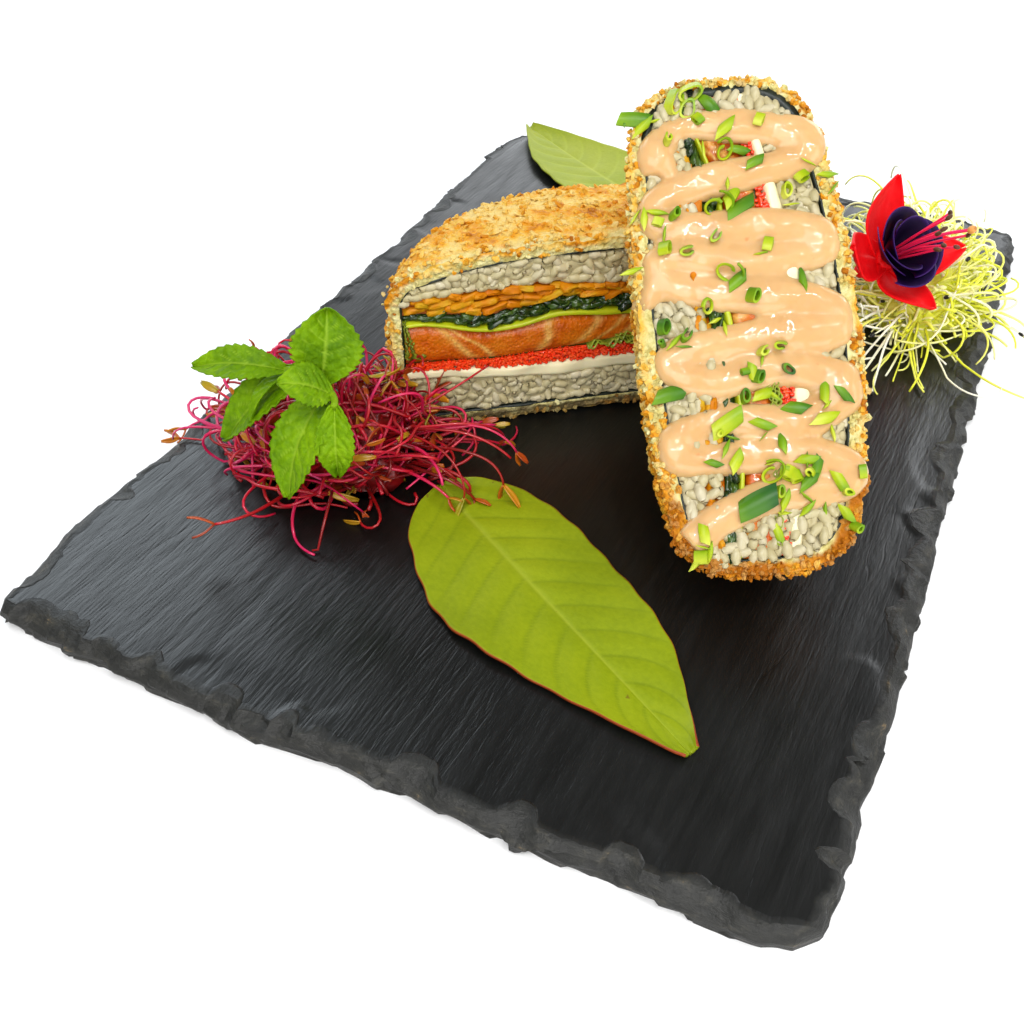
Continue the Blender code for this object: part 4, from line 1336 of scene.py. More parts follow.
def makeScallions(support):
    rng = random.Random(90)
    heap = Heap()
    turn = leaningHalf["matrix"]
    tree = BVHTree.FromPolygons([v.co for v in support.data.vertices],
                                [tuple(p.vertices) for p in support.data.polygons])
    outward = -(turn.to_3x3() @ Vector((0, 1, 0))).normalized()
    along = (turn.to_3x3() @ Vector((1, 0, 0))).normalized()
    pieces = list(scallionLook["pieces"])
    for kind, x, z, size, angle, tint in scallionLook["pieces"]:
        for _ in range(rng.choice((0, 0, 1, 1))):
            away, turnBy = rng.uniform(2.2, 4.5), rng.uniform(0, 6.28)
            pieces.append((rng.choice(("strip", "strip", "ring")), x + away * math.cos(turnBy),
                           min(50, max(3, z + away * math.sin(turnBy))), rng.uniform(1.3, 2.4),
                           rng.uniform(0, 180), min(1, tint + rng.uniform(-0.15, 0.2))))
    for kind, x, z, size, angle, tint in pieces:
        spot = turn @ (Vector((x, 0, z)) * mm)
        hit, normal, _, _ = tree.ray_cast(spot + outward * 20 * mm, -outward, 22 * mm)
        if hit is None:
            hit, normal = spot + outward * 0.6 * mm, outward
        normal = (normal.lerp(outward, 0.45)).normalized()
        side = (along - along.dot(normal) * normal).normalized()
        flush = Matrix((side, normal.cross(side), normal)).transposed()
        spin = Matrix.Rotation(math.radians(-angle), 3, "Z")
        tilt = Matrix.Rotation(rng.uniform(-0.25, 0.25), 3, "X") \
            @ Matrix.Rotation(rng.uniform(-0.2, 0.2), 3, "Y")
        if kind == "ring":
            tall = rng.uniform(1.6, 3.2)
            points, faces = scallionRing(size * 0.62, rng.choice((0, 0, 0.5)), tall)
            lie = Matrix.Rotation(rng.choice((0.2, 0.5, 1.3)), 3, "X")
            lift = tall * 0.4
        elif kind == "strip":
            points, faces = scallionStrip(size, size * rng.uniform(0.42, 0.6), rng.uniform(0.1, 0.6),
                                          rng.uniform(0.5, 1.4))
            lie = Matrix.Identity(3)
            lift = 0.1
        else:
            points, faces = scallionCurl(size)
            lie = Matrix.Rotation(rng.uniform(-0.3, 0.6), 3, "X")
            lift = 0.5
        full = flush @ spin @ tilt @ lie
        shade = tint + 0.2 * points[:, 0] / (np.abs(points[:, 0]).max() + 1e-9)
        heap.put(placed(points, full, (1, 1, 1), hit + normal * lift * mm), faces, tint=shade)
    piece = heap.piece("scallion_pieces", scallionShader(), "leaf_front")
    piece.data.set_sharp_from_angle(angle=math.radians(50))
    print("scallions", heap.count)


# Leaves

def blade(length, widthAt, heightAt, rows, columns, thick):
    # a leaf-like sheet with both faces: base at the origin, tip at +X, upper face toward +Z
    u = np.linspace(0, 1, rows)
    v = np.linspace(-1, 1, columns)
    upper = np.array([[(a * length, b * widthAt(a, b), heightAt(a, b)) for b in v] for a in u])
    normal = np.cross(np.gradient(upper, axis=0), np.gradient(upper, axis=1))
    normal /= np.maximum(np.linalg.norm(normal, axis=2, keepdims=True), 1e-12)
    under = upper - normal * thick
    points = np.concatenate([upper.reshape(-1, 3), under.reshape(-1, 3)])
    return points, sheetFaces(rows, columns), np.tile(np.repeat(u, columns), 2), np.tile(v, 2 * rows)


bigLeaf = {
    "length": 103 * mm,
    "thick": 0.7 * mm,
    "right": [(0, 1.5), (0.04, 10), (0.13, 17.8), (0.35, 24.6), (0.53, 22.2), (0.82, 10.8), (0.96, 4),
              (1, 1.4)],
    "left": [(0, 1.5), (0.05, 11.2), (0.17, 18.6), (0.44, 20.3), (0.73, 16.6), (0.9, 8), (1, 1.4)],
    "turn": math.radians(-31.05),
    "frontTip": (66, -121),
    "backTip": (-95, 150),
    "veins": 11,
}


def smoothTable(table):
    knots = smoothThrough([(a, b, 0) for a, b in table], 160)
    xs = np.maximum.accumulate([k.x for k in knots])
    return xs, np.array([k.y for k in knots])


def veinMark(u, v, count, slant, start=0.03):
    # how near a point is to the midrib or a side vein; the side veins curve toward the tip
    rib = math.exp(-(v / (0.03 * (1.2 - 0.8 * u))) ** 2)
    run = u - slant * abs(v) ** 1.25 - (0.02 if v > 0 else 0.0)
    place = (run - start) * count
    away = abs(place - round(place)) / count
    side = math.exp(-(away / 0.0045) ** 2) * (1 - abs(v) ** 6) * (run > start - 0.02) * (run < 0.93)
    return rib, side, math.cos(2 * math.pi * place)


def leafShader(name, low, mid, high, ribColour, sideColour, marginColour):
    material, tree, shader = newShader(name, mid, 0.5, {"Specular IOR Level": 0.25})
    where = whereOn(tree)
    slow = cloud(tree, where, 45, 4)
    fine = cloud(tree, where, 700, 4, 0.6)
    netting = cells(tree, where, 520, "DISTANCE_TO_EDGE")
    base = ramp(tree, weighed(tree, (slow, 0.7), (fine, 0.3)),
                [(0.35, low), (0.5, mid), (0.68, high)])
    veined = blendColour(tree, times(tree, marked(tree, "vein"), 0.55), base, sideColour)
    veined = blendColour(tree, times(tree, marked(tree, "rib"), 0.6), veined, ribColour)
    margin = addNode(tree, "MapRange", {"Value": marked(tree, "rim"), "From Min": 0.982}).outputs[0]
    edged = blendColour(tree, margin, veined, marginColour)
    spots = ramp(tree, cloud(tree, where, 240, 2), [(0.735, grey(0)), (0.76, grey(1))])
    colourIt(tree, shader, blendColour(tree, times(tree, spots, 0.75), edged, (0.16, 0.09, 0.01)))
    height = weighed(tree, (fine, 0.5), (netting, 0.8))
    relief(tree, shader, height, 0.25, 0.0003)
    return material


def makeBigLeaf(name, tip, turn, back, material, node):
    rightX, rightY = smoothTable(bigLeaf["right"])
    leftX, leftY = smoothTable(bigLeaf["left"])

    def widthAt(u, v):
        wide = np.interp(u, rightX, rightY) if v < 0 else np.interp(u, leftX, leftY)
        edge = 1 + 0.012 * math.sin(u * 60) * abs(v)
        return max(0.8, wide) * edge * mm

    def heightAt(u, v):
        rib, side, wave = veinMark(u, v, bigLeaf["veins"], 0.16)
        vein = max(rib, side)
        quilt = 0.22 * (1 - wave) * 0.5 * (1 - v * v) * min(1, abs(v) * 6)
        height = quilt + 0.35 * abs(v) ** 0.7 - 0.12 * vein
        if back:
            height += 1.4 * v * v + 6.0 * max(0.0, u - 0.6) ** 1.5 + 0.4
        else:
            height += 0.5 * v * v + 0.9 * math.sin(9 * u + (2 if v > 0 else 0)) ** 2 * abs(v) ** 2 \
                + 8 * max(0.0, 0.12 - u)
        return (height + 0.5) * mm

    points, faces, us, vs = blade(bigLeaf["length"], widthAt, heightAt, 150, 61, bigLeaf["thick"])
    base = Vector(tip) * mm - bigLeaf["length"] * Vector((math.cos(turn), math.sin(turn)))
    matrix = Matrix.Translation((base.x, base.y, slate["thick"] + 0.35 * mm)) @ Matrix.Rotation(turn, 4, "Z")
    world = np.array([matrix @ Vector(p) for p in points])
    veins = [veinMark(u, v, bigLeaf["veins"], 0.16) for u, v in zip(us, vs)]
    rim = [max(abs(v), 1 - u * 60 if u < 0.01 else 0) for u, v in zip(us, vs)]
    makePiece(name, world, faces, material, (node,),
              {"rib": [m[0] for m in veins], "vein": [m[1] for m in veins], "rim": rim})


def makeBigLeaves():
    front = leafShader("front_leaf", (0.18, 0.24, 0.001), (0.23, 0.295, 0.002), (0.285, 0.345, 0.004),
                       (0.35, 0.41, 0.03), (0.14, 0.20, 0.002), (0.30, 0.05, 0.01))
    back = leafShader("back_leaf", (0.22, 0.28, 0.008), (0.275, 0.325, 0.012), (0.34, 0.37, 0.022),
                      (0.46, 0.48, 0.06), (0.40, 0.44, 0.04), (0.32, 0.36, 0.02))
    makeBigLeaf("front_leaf_blade", bigLeaf["frontTip"], bigLeaf["turn"], False, front, "leaf_front")
    makeBigLeaf("back_leaf_blade", bigLeaf["backTip"], bigLeaf["turn"] + math.pi, True, back, "leaf_back")
    print("big leaves")


mintLook = {
    "stem": [(-53, -88, 49), (-49, -84, 48), (-43, -86, 47), (-37, -91, 48), (-35, -94, 48)],
    "foot": [(-48, -84.2, 47.6), (-50, -81, 41), (-52, -77, 32), (-54, -72, 22)],
    # base, tip, width, upper side, fold, curl toward the underside
    "leaves": [
        ((-44, -85.4, 47.2), (-45, -78, 63), 17, (0.6, -0.7, 0.3), 0.5, 0.25),
        ((-52.5, -87.6, 49), (-73, -97, 50), 9, (0.1, -0.5, 0.9), 0.35, 0.1),
        ((-51, -86, 48.5), (-57, -99, 40), 6, (-0.6, -0.5, 0.6), 0.6, 0.2),
        ((-48, -84, 47.9), (-66, -99, 31), 12, (-0.3, -0.7, 0.7), 0.5, 0.1),
        ((-38.4, -89.8, 47.7), (-47, -98, 54), 12, (0.2, -0.3, 0.9), 0.2, 0.15),
        ((-41, -87.6, 47.2), (-43, -107, 27), 14, (-0.1, -0.8, 0.5), 0.3, 0.15),
        ((-35.6, -93, 48), (-33, -99, 31), 9, (0.4, -0.7, 0.5), 0.55, 0.3),
    ],
    "teeth": 11,
}


def facing(base, tip, upper):
    along = (tip - base).normalized()
    side = upper.cross(along).normalized()
    return Matrix.Translation(base) @ Matrix((along, side, along.cross(side))).transposed().to_4x4()


def mintShader():
    material, tree, shader = newShader("mint", (0.13, 0.28, 0.002), 0.48, {"Specular IOR Level": 0.1})
    where = whereOn(tree)
    slow = cloud(tree, where, 110, 3)
    fine = cloud(tree, where, 900, 3)
    base = ramp(tree, weighed(tree, (slow, 0.7), (fine, 0.3)),
                [(0.33, (0.070, 0.165, 0.0007)), (0.5, (0.132, 0.265, 0.001)), (0.68, (0.215, 0.38, 0.003))])
    veined = blendColour(tree, times(tree, marked(tree, "vein"), 0.55), base, (0.30, 0.45, 0.03))
    colourIt(tree, shader, veined)
    crease = cells(tree, where, 330, "DISTANCE_TO_EDGE")
    relief(tree, shader, plus(tree, times(tree, fine, 0.3), crease), 0.7, 0.001)
    return material


def makeMint():
    heap = Heap()
    for name, count in (("stem", 15), ("foot", 12)):
        route = [Vector(p) * mm for p in smoothThrough(mintLook[name], count)]
        points, faces = tubeThrough(route, 0.9 * mm, 8)
        heap.put(points, faces, vein=0.4)
    for base, tip, width, upper, fold, curl in mintLook["leaves"]:
        base, tip = Vector(base) * mm, Vector(tip) * mm
        length = (tip - base).length
        teeth = mintLook["teeth"]

        def widthAt(u, v, width=width):
            wide = max(0.05, math.sin(math.pi * min(1.0, u * 0.95 + 0.04)) ** 0.75) * width / 2
            saw = 1 + 0.17 * ((u * teeth) % 1.0 - 0.5) * (abs(v) ** 3)
            return wide * saw * mm

        def heightAt(u, v, length=length, fold=fold, curl=curl, width=width):
            rib, side, wave = veinMark(u, v, 6, 0.3, 0.05)
            vein = max(rib, side)
            quilt = 0.032 * width * (1 - wave) * 0.5 * (1 - v * v) * min(1, abs(v) * 5) * mm
            rise = 0.12 * length * math.sin(math.pi * u) - curl * length * max(0.0, u - 0.55) ** 2 * 1.6
            return rise + quilt + fold * width * 0.35 * mm * abs(v) ** 1.3 - 0.12 * vein * mm

        points, faces, us, vs = blade(length, widthAt, heightAt, 44, 25, 0.35 * mm)
        matrix = facing(base, tip, Vector(upper))
        world = [matrix @ Vector(p) for p in points]
        vein = [max(veinMark(u, v, 6, 0.3, 0.05)[:2]) for u, v in zip(us, vs)]
        heap.put(np.array(world), faces, vein=vein)
    heap.piece("mint_sprig_leaves", mintShader(), "mint_sprig", ("mint_sprig",))
    print("mint", heap.count)


# Sprouts: tangled stems over a low mound

beetLook = {
    "name": "beet", "middle": (-56, -68), "size": (33, 25, 27), "turn": 12, "strands": 360, "seed": 3,
    "length": (18, 34), "radius": (0.38, 0.6), "wander": 0.17, "reach": (0.4, 1.1), "leafy": 0.5,
    "leafSize": (4, 8), "leafWidth": (0.6, 1.1), "strays": 30, "seedShare": 0, "meetsHalf": True,
    # from and to in degrees, farthest end as a share of the heap, more length in mm, highest start
    "strayTo": [(150, 205, 1.25, 0, 0.4), (-15, 22, 1.5, 6, 0.6), (-100, -70, 1.15, 0, 0.4),
                (-32, -10, 1.2, 0, 0.5), (30, 100, 1.25, 0, 1.0)],
    "core": 0.05,
}
leekLook = {
    "name": "leek", "middle": (76, 84), "size": (25, 37, 27), "turn": 4, "strands": 430, "seed": 8,
    "length": (20, 40), "radius": (0.36, 0.52), "wander": 0.12, "reach": (0.45, 1.06), "leafy": 0.0,
    "leafSize": (4, 6), "leafWidth": (0.5, 0.7), "strays": 54, "seedShare": 0.1, "meetsHalf": False,
    "strayTo": [(-150, -100, 1.4, 9, 0.4), (-100, -55, 1.25, 5, 0.4), (-50, -15, 1.1, 0, 0.4),
                (112, 150, 1.45, 2, 1.0), (125, 190, 1.35, 0, 0.9)],
    "core": 0.3,
}
rightLimit = 118 * mm   # no stem goes past it


def growStrand(look, rng, stray, avoid):
    a, b, h = (s * mm for s in look["size"])
    middle = Vector((look["middle"][0] * mm, look["middle"][1] * mm, slate["thick"]))
    turn = Matrix.Rotation(math.radians(look["turn"]), 3, "Z")
    back = turn.transposed()
    angle = rng.uniform(0, 2 * math.pi)
    around = math.sqrt(rng.uniform(0, 0.95))
    rise = math.sqrt(max(0.0, 1 - around * around)) * rng.uniform(0.15, 1.0)
    if stray:
        low, high, far, extra, highest = rng.choice(look["strayTo"])
        angle = math.radians(rng.uniform(low, high))
        target = rng.uniform(1.05, far)
        around, rise = rng.uniform(0.4, 0.8), rng.uniform(0.05, highest)
    local = Vector((a * around * math.cos(angle), b * around * math.sin(angle), h * rise))
    p = middle + turn @ local
    target = target if stray else rng.uniform(*look["reach"])
    way = Vector((rng.uniform(-1, 1), rng.uniform(-1, 1), rng.uniform(-0.2, 0.7))).normalized()
    if stray:
        way = (turn @ Vector((math.cos(angle), math.sin(angle), 0.1))).normalized()
    length = (rng.uniform(*look["length"]) + (extra if stray else 0)) * mm
    step = 1.7 * mm
    bend = anyWay(rng) * look["wander"] * 0.5
    points = [p.copy()]
    ground = slate["thick"] + 0.7 * mm
    for index in range(int(length / step)):
        local = back @ (p - middle)
        rho = math.sqrt((local.x / a) ** 2 + (local.y / b) ** 2 + (local.z / h) ** 2)
        pull = Vector((local.x / a, local.y / b, local.z / h))
        pull = (turn @ pull.normalized()) if pull.length > 1e-6 else Vector((0, 0, 1))
        urge = max(-0.8, min(0.5, (target - rho) * (1.1 if rho < target else 2.2)))
        way += pull * urge * (0.3 if stray else 1)
        bend += anyWay(rng) * look["wander"] * 0.22
        bend *= 0.93
        way += bend * (0.65 if stray else 0.55)
        if stray and index > 3:
            way.z -= 0.07
        for spot, ahead, keep in avoid:
            off = p - spot
            if off.length < keep and off.dot(ahead) > -4 * mm:
                way += (off.normalized() * 0.3 - ahead).normalized() * 0.9
        if p.z < ground + 1.0 * mm and way.z < 0:
            way.z *= 0.1
        way.normalize()
        p = p + way * step
        p.z = max(p.z, ground)
        p.x = min(p.x, rightLimit)
        points.append(p.copy())
    return points


def clearOfHalf(point):
    # a point inside the lying half moves to just before its cut face
    local = lyingHalf["matrix"].inverted() @ point
    reach = math.hypot(local.x, local.y * burger["radius"] / lyingHalf["depth"])
    if local.y > -0.8 * mm and reach < burger["radius"] + 0.5 * mm and local.z < lyingHalf["height"]:
        local.y = -1.0 * mm
        return lyingHalf["matrix"] @ local
    return point


def sproutLeaf(at, way, side, length, width):
    def widthAt(u, v):
        return max(0.1, math.sin(math.pi * min(1, u * 0.92 + 0.05)) ** 0.8) * width * mm

    def heightAt(u, v):
        return (0.12 * length * math.sin(2.4 * u) + 0.25 * width * v * v) * mm

    points, faces, _, _ = blade(length * mm, widthAt, heightAt, 8, 5, 0.3 * mm)
    matrix = facing(at, at + way, side)
    return np.array([matrix @ Vector(p) for p in points]), faces


def makeSprouts(look, material, node, avoid):
    rng = random.Random(look["seed"])
    heap = Heap()
    core, coreFaces = ballShape(30, 20)
    a, b, h = (s * mm * 0.66 for s in look["size"])
    turn = Matrix.Rotation(math.radians(look["turn"]), 3, "Z")
    shaped = rough(core, look["seed"], 2.4, 0.35) * (a, b, h)
    shaped[:, 2] = np.maximum(shaped[:, 2], 0.0)
    middle = (look["middle"][0] * mm, look["middle"][1] * mm, slate["thick"] + 0.2 * mm)
    world = shaped @ np.array(turn).T + middle
    for spot, ahead, keep in avoid:
        off = world - np.array(spot)
        over = off @ np.array(ahead) + 5 * mm
        inside = (np.linalg.norm(off, axis=1) < keep) & (over > 0)
        world[inside] -= over[inside][:, None] * np.array(ahead)
    if look["meetsHalf"]:
        world = np.array([clearOfHalf(Vector(p)) for p in world])
    heap.put(world, coreFaces, tint=look["core"], leaf=0.0)
    seedBall, seedFaces = ballShape(7, 5)
    for index in range(look["strands"] + look["strays"]):
        stray = index >= look["strands"]
        points = growStrand(look, rng, stray, avoid)
        if look["meetsHalf"]:
            points = [clearOfHalf(p) for p in points]
        radius = rng.uniform(*look["radius"]) * mm
        count = len(points)
        radii = [radius * (1 - 0.35 * (i / (count - 1))) for i in range(count)]
        across = (points[0].x / mm - look["middle"][0]) / look["size"][0]
        tint = min(1.0, max(0.0, rng.uniform(0.1, 0.9) - 0.22 * across))
        run = np.repeat(np.linspace(0, 1, count), 5)
        verts, faces = tubeThrough(points, radii, 5)
        heap.put(verts, faces, tint=np.clip(tint + 0.25 * (run - 0.5), 0, 1), leaf=0.0)
        tip, way = points[-1], (points[-1] - points[-3]).normalized()
        if rng.random() < look["leafy"]:
            side = way.orthogonal().normalized()
            spin = Matrix.Rotation(rng.uniform(0, 6.28), 3, way)
            side = spin @ side
            length, width = rng.uniform(*look["leafSize"]), rng.uniform(*look["leafWidth"])
            for sign in (-1, 1):
                spread = rng.uniform(0.15, 0.55) * sign
                leafWay = (way + side * spread).normalized()
                put, leafFaces = sproutLeaf(tip - way * 0.3 * mm, leafWay, side * sign,
                                            length * rng.uniform(0.8, 1.1), width)
                put[:, 2] = np.maximum(put[:, 2], 0.3 * mm)
                heap.put(put, leafFaces, tint=rng.uniform(0, 1), leaf=1.0)
        elif look["seedShare"] and rng.random() < look["seedShare"]:
            put = placed(seedBall, turnedTo(way, rng.uniform(0, 6)), (0.55 * mm, 0.75 * mm, 1.0 * mm), tip)
            heap.put(put, seedFaces, tint=0.5, leaf=1.0)
    heap.piece(look["name"] + "_sprout_stems", material, node, (node,))
    print(look["name"], heap.count)


def beetShader():
    material, tree, shader = newShader("beet", (0.45, 0.02, 0.12), 0.32,
                                       {"Coat Weight": 0.15})
    where = whereOn(tree)
    grain = cloud(tree, where, 260, 3)
    tint = weighed(tree, (marked(tree, "tint"), 0.75), (grain, 0.3))
    stem = ramp(tree, tint, [(0.10, (0.10, 0.002, 0.002)), (0.32, (0.34, 0.004, 0.006)),
                             (0.52, (0.52, 0.007, 0.022)), (0.75, (0.64, 0.012, 0.10)),
                             (1.0, (0.72, 0.07, 0.22))])
    tip = ramp(tree, tint, [(0.1, (0.18, 0.012, 0.003)), (0.4, (0.42, 0.06, 0.005)),
                            (0.65, (0.56, 0.20, 0.008)), (0.9, (0.32, 0.28, 0.010))])
    colourIt(tree, shader, blendColour(tree, marked(tree, "leaf"), stem, tip))
    relief(tree, shader, grain, 0.2, 0.0004)
    return material


def leekShader():
    material, tree, shader = newShader("leek", (0.7, 0.78, 0.4), 0.3,
                                       {"Specular IOR Level": 0.3})
    where = whereOn(tree)
    grain = cloud(tree, where, 55, 3)
    tint = weighed(tree, (marked(tree, "tint"), 0.6), (grain, 0.4))
    stem = ramp(tree, tint, [(0.15, (0.70, 0.74, 0.015)), (0.36, (0.86, 0.88, 0.08)),
                             (0.50, (0.93, 0.92, 0.36)), (0.66, (0.96, 0.95, 0.78))])
    colourIt(tree, shader, blendColour(tree, marked(tree, "leaf"), stem, (0.012, 0.011, 0.012)))
    relief(tree, shader, grain, 0.2, 0.0004)
    return material


# Flower

flowerLook = {
    "middle": Vector((66, 60.5, 32.3)) * mm,
    "look": Vector((0.60, -0.36, 0.715)),
    "top": Vector((-0.45, 0.60, 0.66)),
    "tube": [(0.9, -19), (0.8, -14), (1.3, -13.6), (2.5, -11), (2.1, -8.5), (2.3, -6), (3.1, -2.5),
             (3.3, -0.5), (2.6, 0.4)],   # radius and height in mm
    "style": [(0, 0, 3), (0.2, 0.6, 12), (-0.4, -1.2, 22), (-1.8, -4.5, 29.5)],
    "sepal": (21 * mm, 15 * mm),
    "sepals": [(1, 0), (1, 0), (0.88, 14), (1, 0)],   # share of the length, turn aside in degrees
    "petals": 8,
    "stamens": 8,
}


def flowerMatrix():
    look = flowerLook["look"].normalized()
    first = (flowerLook["top"] - flowerLook["top"].dot(look) * look).normalized()
    turn = Matrix((first, look.cross(first), look)).transposed().to_4x4()
    return Matrix.Translation(flowerLook["middle"]) @ turn


def turnedBody(profile, sides):
    points, faces = [], []
    for r, z in profile:
        for k in range(sides):
            a = 2 * math.pi * k / sides
            points.append((max(r, 0.01) * mm * math.cos(a), max(r, 0.01) * mm * math.sin(a), z * mm))
    faces = gridFaces(len(profile), sides, closed=True)
    faces.append(tuple(range(sides - 1, -1, -1)))
    faces.append(tuple(range((len(profile) - 1) * sides, len(profile) * sides)))
    return np.array(points), faces


def makeFlower():
    matrix = flowerMatrix()
    red = foodShader("sepal", [(0.2, (0.78, 0.002, 0.005)), (0.6, (0.95, 0.006, 0.010)),
                               (0.9, (0.98, 0.03, 0.02))],
                     420, 0.42, {"Specular IOR Level": 0.12}, (0.35, 0.0005))
    purple = foodShader("petal", [(0.1, (0.003, 0.0008, 0.009)), (0.5, (0.008, 0.0015, 0.03)),
                                  (0.8, (0.03, 0.005, 0.10)), (1.0, (0.10, 0.015, 0.20))],
                        300, 0.5, {"Specular IOR Level": 0.2}, (0.3, 0.0004), weight=0.75)
    pink = foodShader("stamen", [(0.2, (0.10, 0.045, 0.02)), (0.32, (0.80, 0.008, 0.035)),
                                 (0.7, (0.90, 0.02, 0.12)), (0.85, (0.86, 0.03, 0.16)),
                                 (0.92, (0.82, 0.36, 0.10))],
                      300, 0.4, {"Specular IOR Level": 0.25}, (0.1, 0.0003), 2, 0.85)

    def inPlace(points):
        return np.array([matrix @ Vector(p) for p in points])

    heap = Heap()
    profile = smoothThrough([(r, z, 0) for r, z in flowerLook["tube"]], 40)
    points, faces = turnedBody([(p.x, p.y) for p in profile], 20)
    heap.put(inPlace(points), faces, tint=0.4)
    length, width = flowerLook["sepal"]
    for index, (longer, aside) in enumerate(flowerLook["sepals"]):
        def widthAt(u, v):
            return max(0.02, math.sin(math.pi * min(1, 0.12 + u * 0.88)) ** 0.8) * width / 2

        def heightAt(u, v, index=index):
            keel = 0.5 * (1 - min(1, abs(v) * 5)) * (1 - u)
            curl = (8.5 * u * u + 2.5 * u) + 1.6 * v * v + 0.5 * math.sin(7 * u + index)
            return (curl + keel) * mm

        points, faces, us, _ = blade(length * longer, widthAt, heightAt, 40, 21, 0.7 * mm)
        place = Matrix.Rotation(index * math.pi / 2 + math.radians(aside), 4, "Z") \
            @ Matrix.Translation((1.0 * mm, 0, -1.7 * mm))
        heap.put(inPlace([place @ Vector(p) for p in points]), faces, tint=0.35 + 0.3 * us)
    heap.piece("flower_red_sepals", red, "flower_sepals", ("flower_sepals",))

    heap = Heap()
    count = flowerLook["petals"]
    for index in range(count):
        inner = index % 2
        angle = 2 * math.pi * index / count + 0.35
        rise, spread, wrap = (13.0, 7.5, 1.1) if inner else (12.0, 10.8, 0.95)

        def at(u, v, angle=angle, rise=rise, spread=spread, wrap=wrap):
            # each petal wraps half round the cup, over the next one
            turn = angle + v * wrap * (0.35 + 0.65 * u)
            r = 1.2 + spread * u ** 0.75 * (1 - 0.16 * v) + 0.5 * math.sin(3 * v + index)
            r *= 1 - 0.1 * v * v
            z = 1 + rise * u * (1 - 0.28 * v * v) - 1.4 * max(0.0, u - 0.75) * 2
            return Vector((r * math.cos(turn) * mm, r * math.sin(turn) * mm, z * mm))

        rows, columns = 20, 17
        spots = [(i / (rows - 1), j / (columns - 1) * 2 - 1) for i in range(rows) for j in range(columns)]
        tint = [0.15 + 0.75 * max(u ** 6, abs(v) ** 8) for u, v in spots]
        heap.put(inPlace([at(u, v) for u, v in spots]), gridFaces(rows, columns), tint=tint)
    piece = heap.piece("flower_purple_petals", purple, "flower_corolla", ("flower_corolla",))
    thicken(piece, 0.3 * mm)

    rng = random.Random(5)
    heap = Heap()
    style = [matrix @ (Vector(p) * mm) for p in smoothThrough(flowerLook["style"], 16)]
    points, faces = tubeThrough(style, 0.5 * mm, 8)
    heap.put(points, faces, tint=0.8)
    base, ballFaces = ballShape(10, 8)
    heap.put(placed(base, matrix.to_3x3(), (1.2 * mm, 1.2 * mm, 1.5 * mm), style[-1]), ballFaces, tint=1.4)
    for index in range(flowerLook["stamens"]):
        a = 2 * math.pi * index / flowerLook["stamens"] + rng.uniform(-0.2, 0.2)
        spread = rng.uniform(3.0, 6.5)
        tall = rng.uniform(19, 27)
        lean = -0.16 * (tall - 12)   # they bow toward one side as they leave the cup
        east, north = math.cos(a), math.sin(a)
        route = [(1.5 * east, 1.5 * north, 4), (2.6 * east, 2.6 * north, tall * 0.55),
                 (spread * east + 0.4 * lean, spread * north + lean, tall)]
        route = [matrix @ (Vector(p) * mm) for p in smoothThrough(route, 10)]
        points, faces = tubeThrough(route, 0.38 * mm, 6)
        heap.put(points, faces, tint=0.55)
        anther = placed(base, matrix.to_3x3() @ anyTurn(rng), (0.7 * mm, 0.7 * mm, 1.3 * mm), route[-1])
        heap.put(anther, ballFaces, tint=0.12)
    heap.piece("flower_stamens", pink, "flower_pistil", ("flower_pistil",))
    print("flower")


# Room: pale floor, soft light, camera

studio = {
    "floor": (0.93, 0.93, 0.93),
    "world": 0.14,
    "lens": 38.44,
    "cameraAt": (0.0884, -0.2613, 0.2037),
    "azimuth": -24.85,
    "pitch": 42.81,
    "roll": 0.44,
    # name, place, aim, size, power, colour
    "lights": [
        ("key", (0.05, -0.75, 0.85), (0, -0.02, 0.03), (0.8, 0.6), 7.1, (1, 1, 1)),
        ("front", (0.5, -0.8, 0.22), (0, 0, 0.03), (0.6, 0.35), 2.4, (1, 1, 1)),
        ("line", (0.34, -0.36, 0.98), (0.04, -0.03, 0.06), (0.9, 0.010), 2.6, (1, 1, 1)),
        ("cross line", (0.16, -0.22, 1.0), (0.04, -0.03, 0.06), (0.010, 0.7), 2.0, (1, 1, 1)),
        ("left", (-0.75, 0.34, 0.52), (-0.05, 0, 0), (0.5, 0.6), 4.8, (0.84, 0.93, 1)),
        ("back", (-0.3, 1.0, 0.38), (0, 0, 0), (1.0, 0.25), 4, (0.92, 0.96, 1)),
        ("far", (0.42, 0.9, 0.5), (0.1, 0, 0), (0.5, 0.5), 4, (0.94, 0.97, 1)),
        ("right", (0.8, -0.1, 0.5), (0, 0, 0.02), (0.5, 0.5), 2.5, (1, 1, 1)),
    ],
}


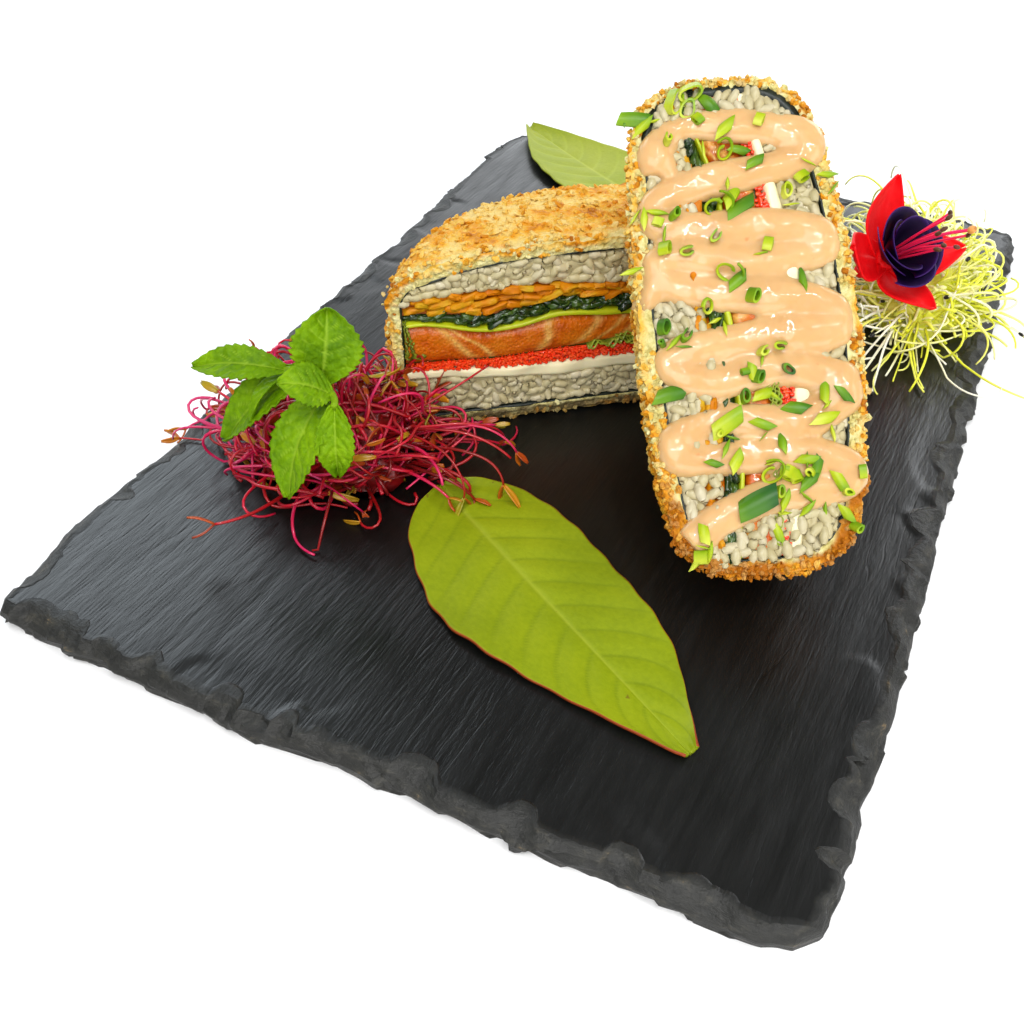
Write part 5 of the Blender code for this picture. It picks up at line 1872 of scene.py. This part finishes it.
def makeStudio():
    material, tree, shader = newShader("floor", studio["floor"], 0.8)
    faint = cloud(tree, whereOn(tree), 3, 2)
    colourIt(tree, shader, ramp(tree, faint, [(0.3, grey(0.92)), (0.7, grey(0.95))]))
    mesh = bpy.data.meshes.new("floor")
    mesh.from_pydata([(-6, -6, 0), (6, -6, 0), (6, 6, 0), (-6, 6, 0)], [], [(0, 1, 2, 3)])
    mesh.materials.append(material)
    floor = newObject("floor", mesh)

    world = bpy.data.worlds.new("studio")
    world.use_nodes = True
    background = world.node_tree.nodes["Background"]
    background.inputs["Color"].default_value = (1, 1, 1, 1)
    background.inputs["Strength"].default_value = studio["world"]
    bpy.context.scene.world = world

    for name, at, aim, size, power, colour in studio["lights"]:
        lamp = bpy.data.lights.new(name, "AREA")
        lamp.shape = "RECTANGLE"
        lamp.size, lamp.size_y = size
        lamp.energy = power
        lamp.color = colour
        holder = newObject(name, lamp)
        holder.location = at
        holder.visible_camera = False
        holder.rotation_euler = (Vector(aim) - Vector(at)).to_track_quat("-Z", "Y").to_euler()

    azimuth, pitch, roll = (math.radians(studio[k]) for k in ("azimuth", "pitch", "roll"))
    level = math.cos(pitch)
    ahead = Vector((math.sin(azimuth) * level, math.cos(azimuth) * level, -math.sin(pitch)))
    right = ahead.cross(Vector((0, 0, 1))).normalized()
    over = right.cross(ahead)
    tiltedRight = right * math.cos(roll) + over * math.sin(roll)
    tiltedOver = over * math.cos(roll) - right * math.sin(roll)
    lens = bpy.data.cameras.new("camera")
    lens.lens = studio["lens"]
    lens.sensor_width = 36
    lens.clip_start = 0.01
    camera = newObject("camera", lens)
    turn = Matrix((tiltedRight, tiltedOver, -ahead)).transposed().to_4x4()
    camera.matrix_world = Matrix.Translation(studio["cameraAt"]) @ turn
    bpy.context.scene.camera = camera
    bpy.context.scene.view_settings.view_transform = "Standard"


makeStudio()
makeSlate()
crustMaterial = crustShader()
noriMaterial = noriShader()
for half in (lyingHalf, leaningHalf):
    makeCrust(half, crustMaterial)
    makeNori(half, noriMaterial)
makeFilling()
makeScallions(makeSauce())
makeBigLeaves()
makeMint()
flowerKeep = [(flowerLook["middle"], flowerLook["look"].normalized(), 25 * mm)]
makeSprouts(beetLook, beetShader(), "beet_sprouts", [])
makeSprouts(leekLook, leekShader(), "leek_sprouts", flowerKeep)
makeFlower()

bpy.context.view_layer.update()
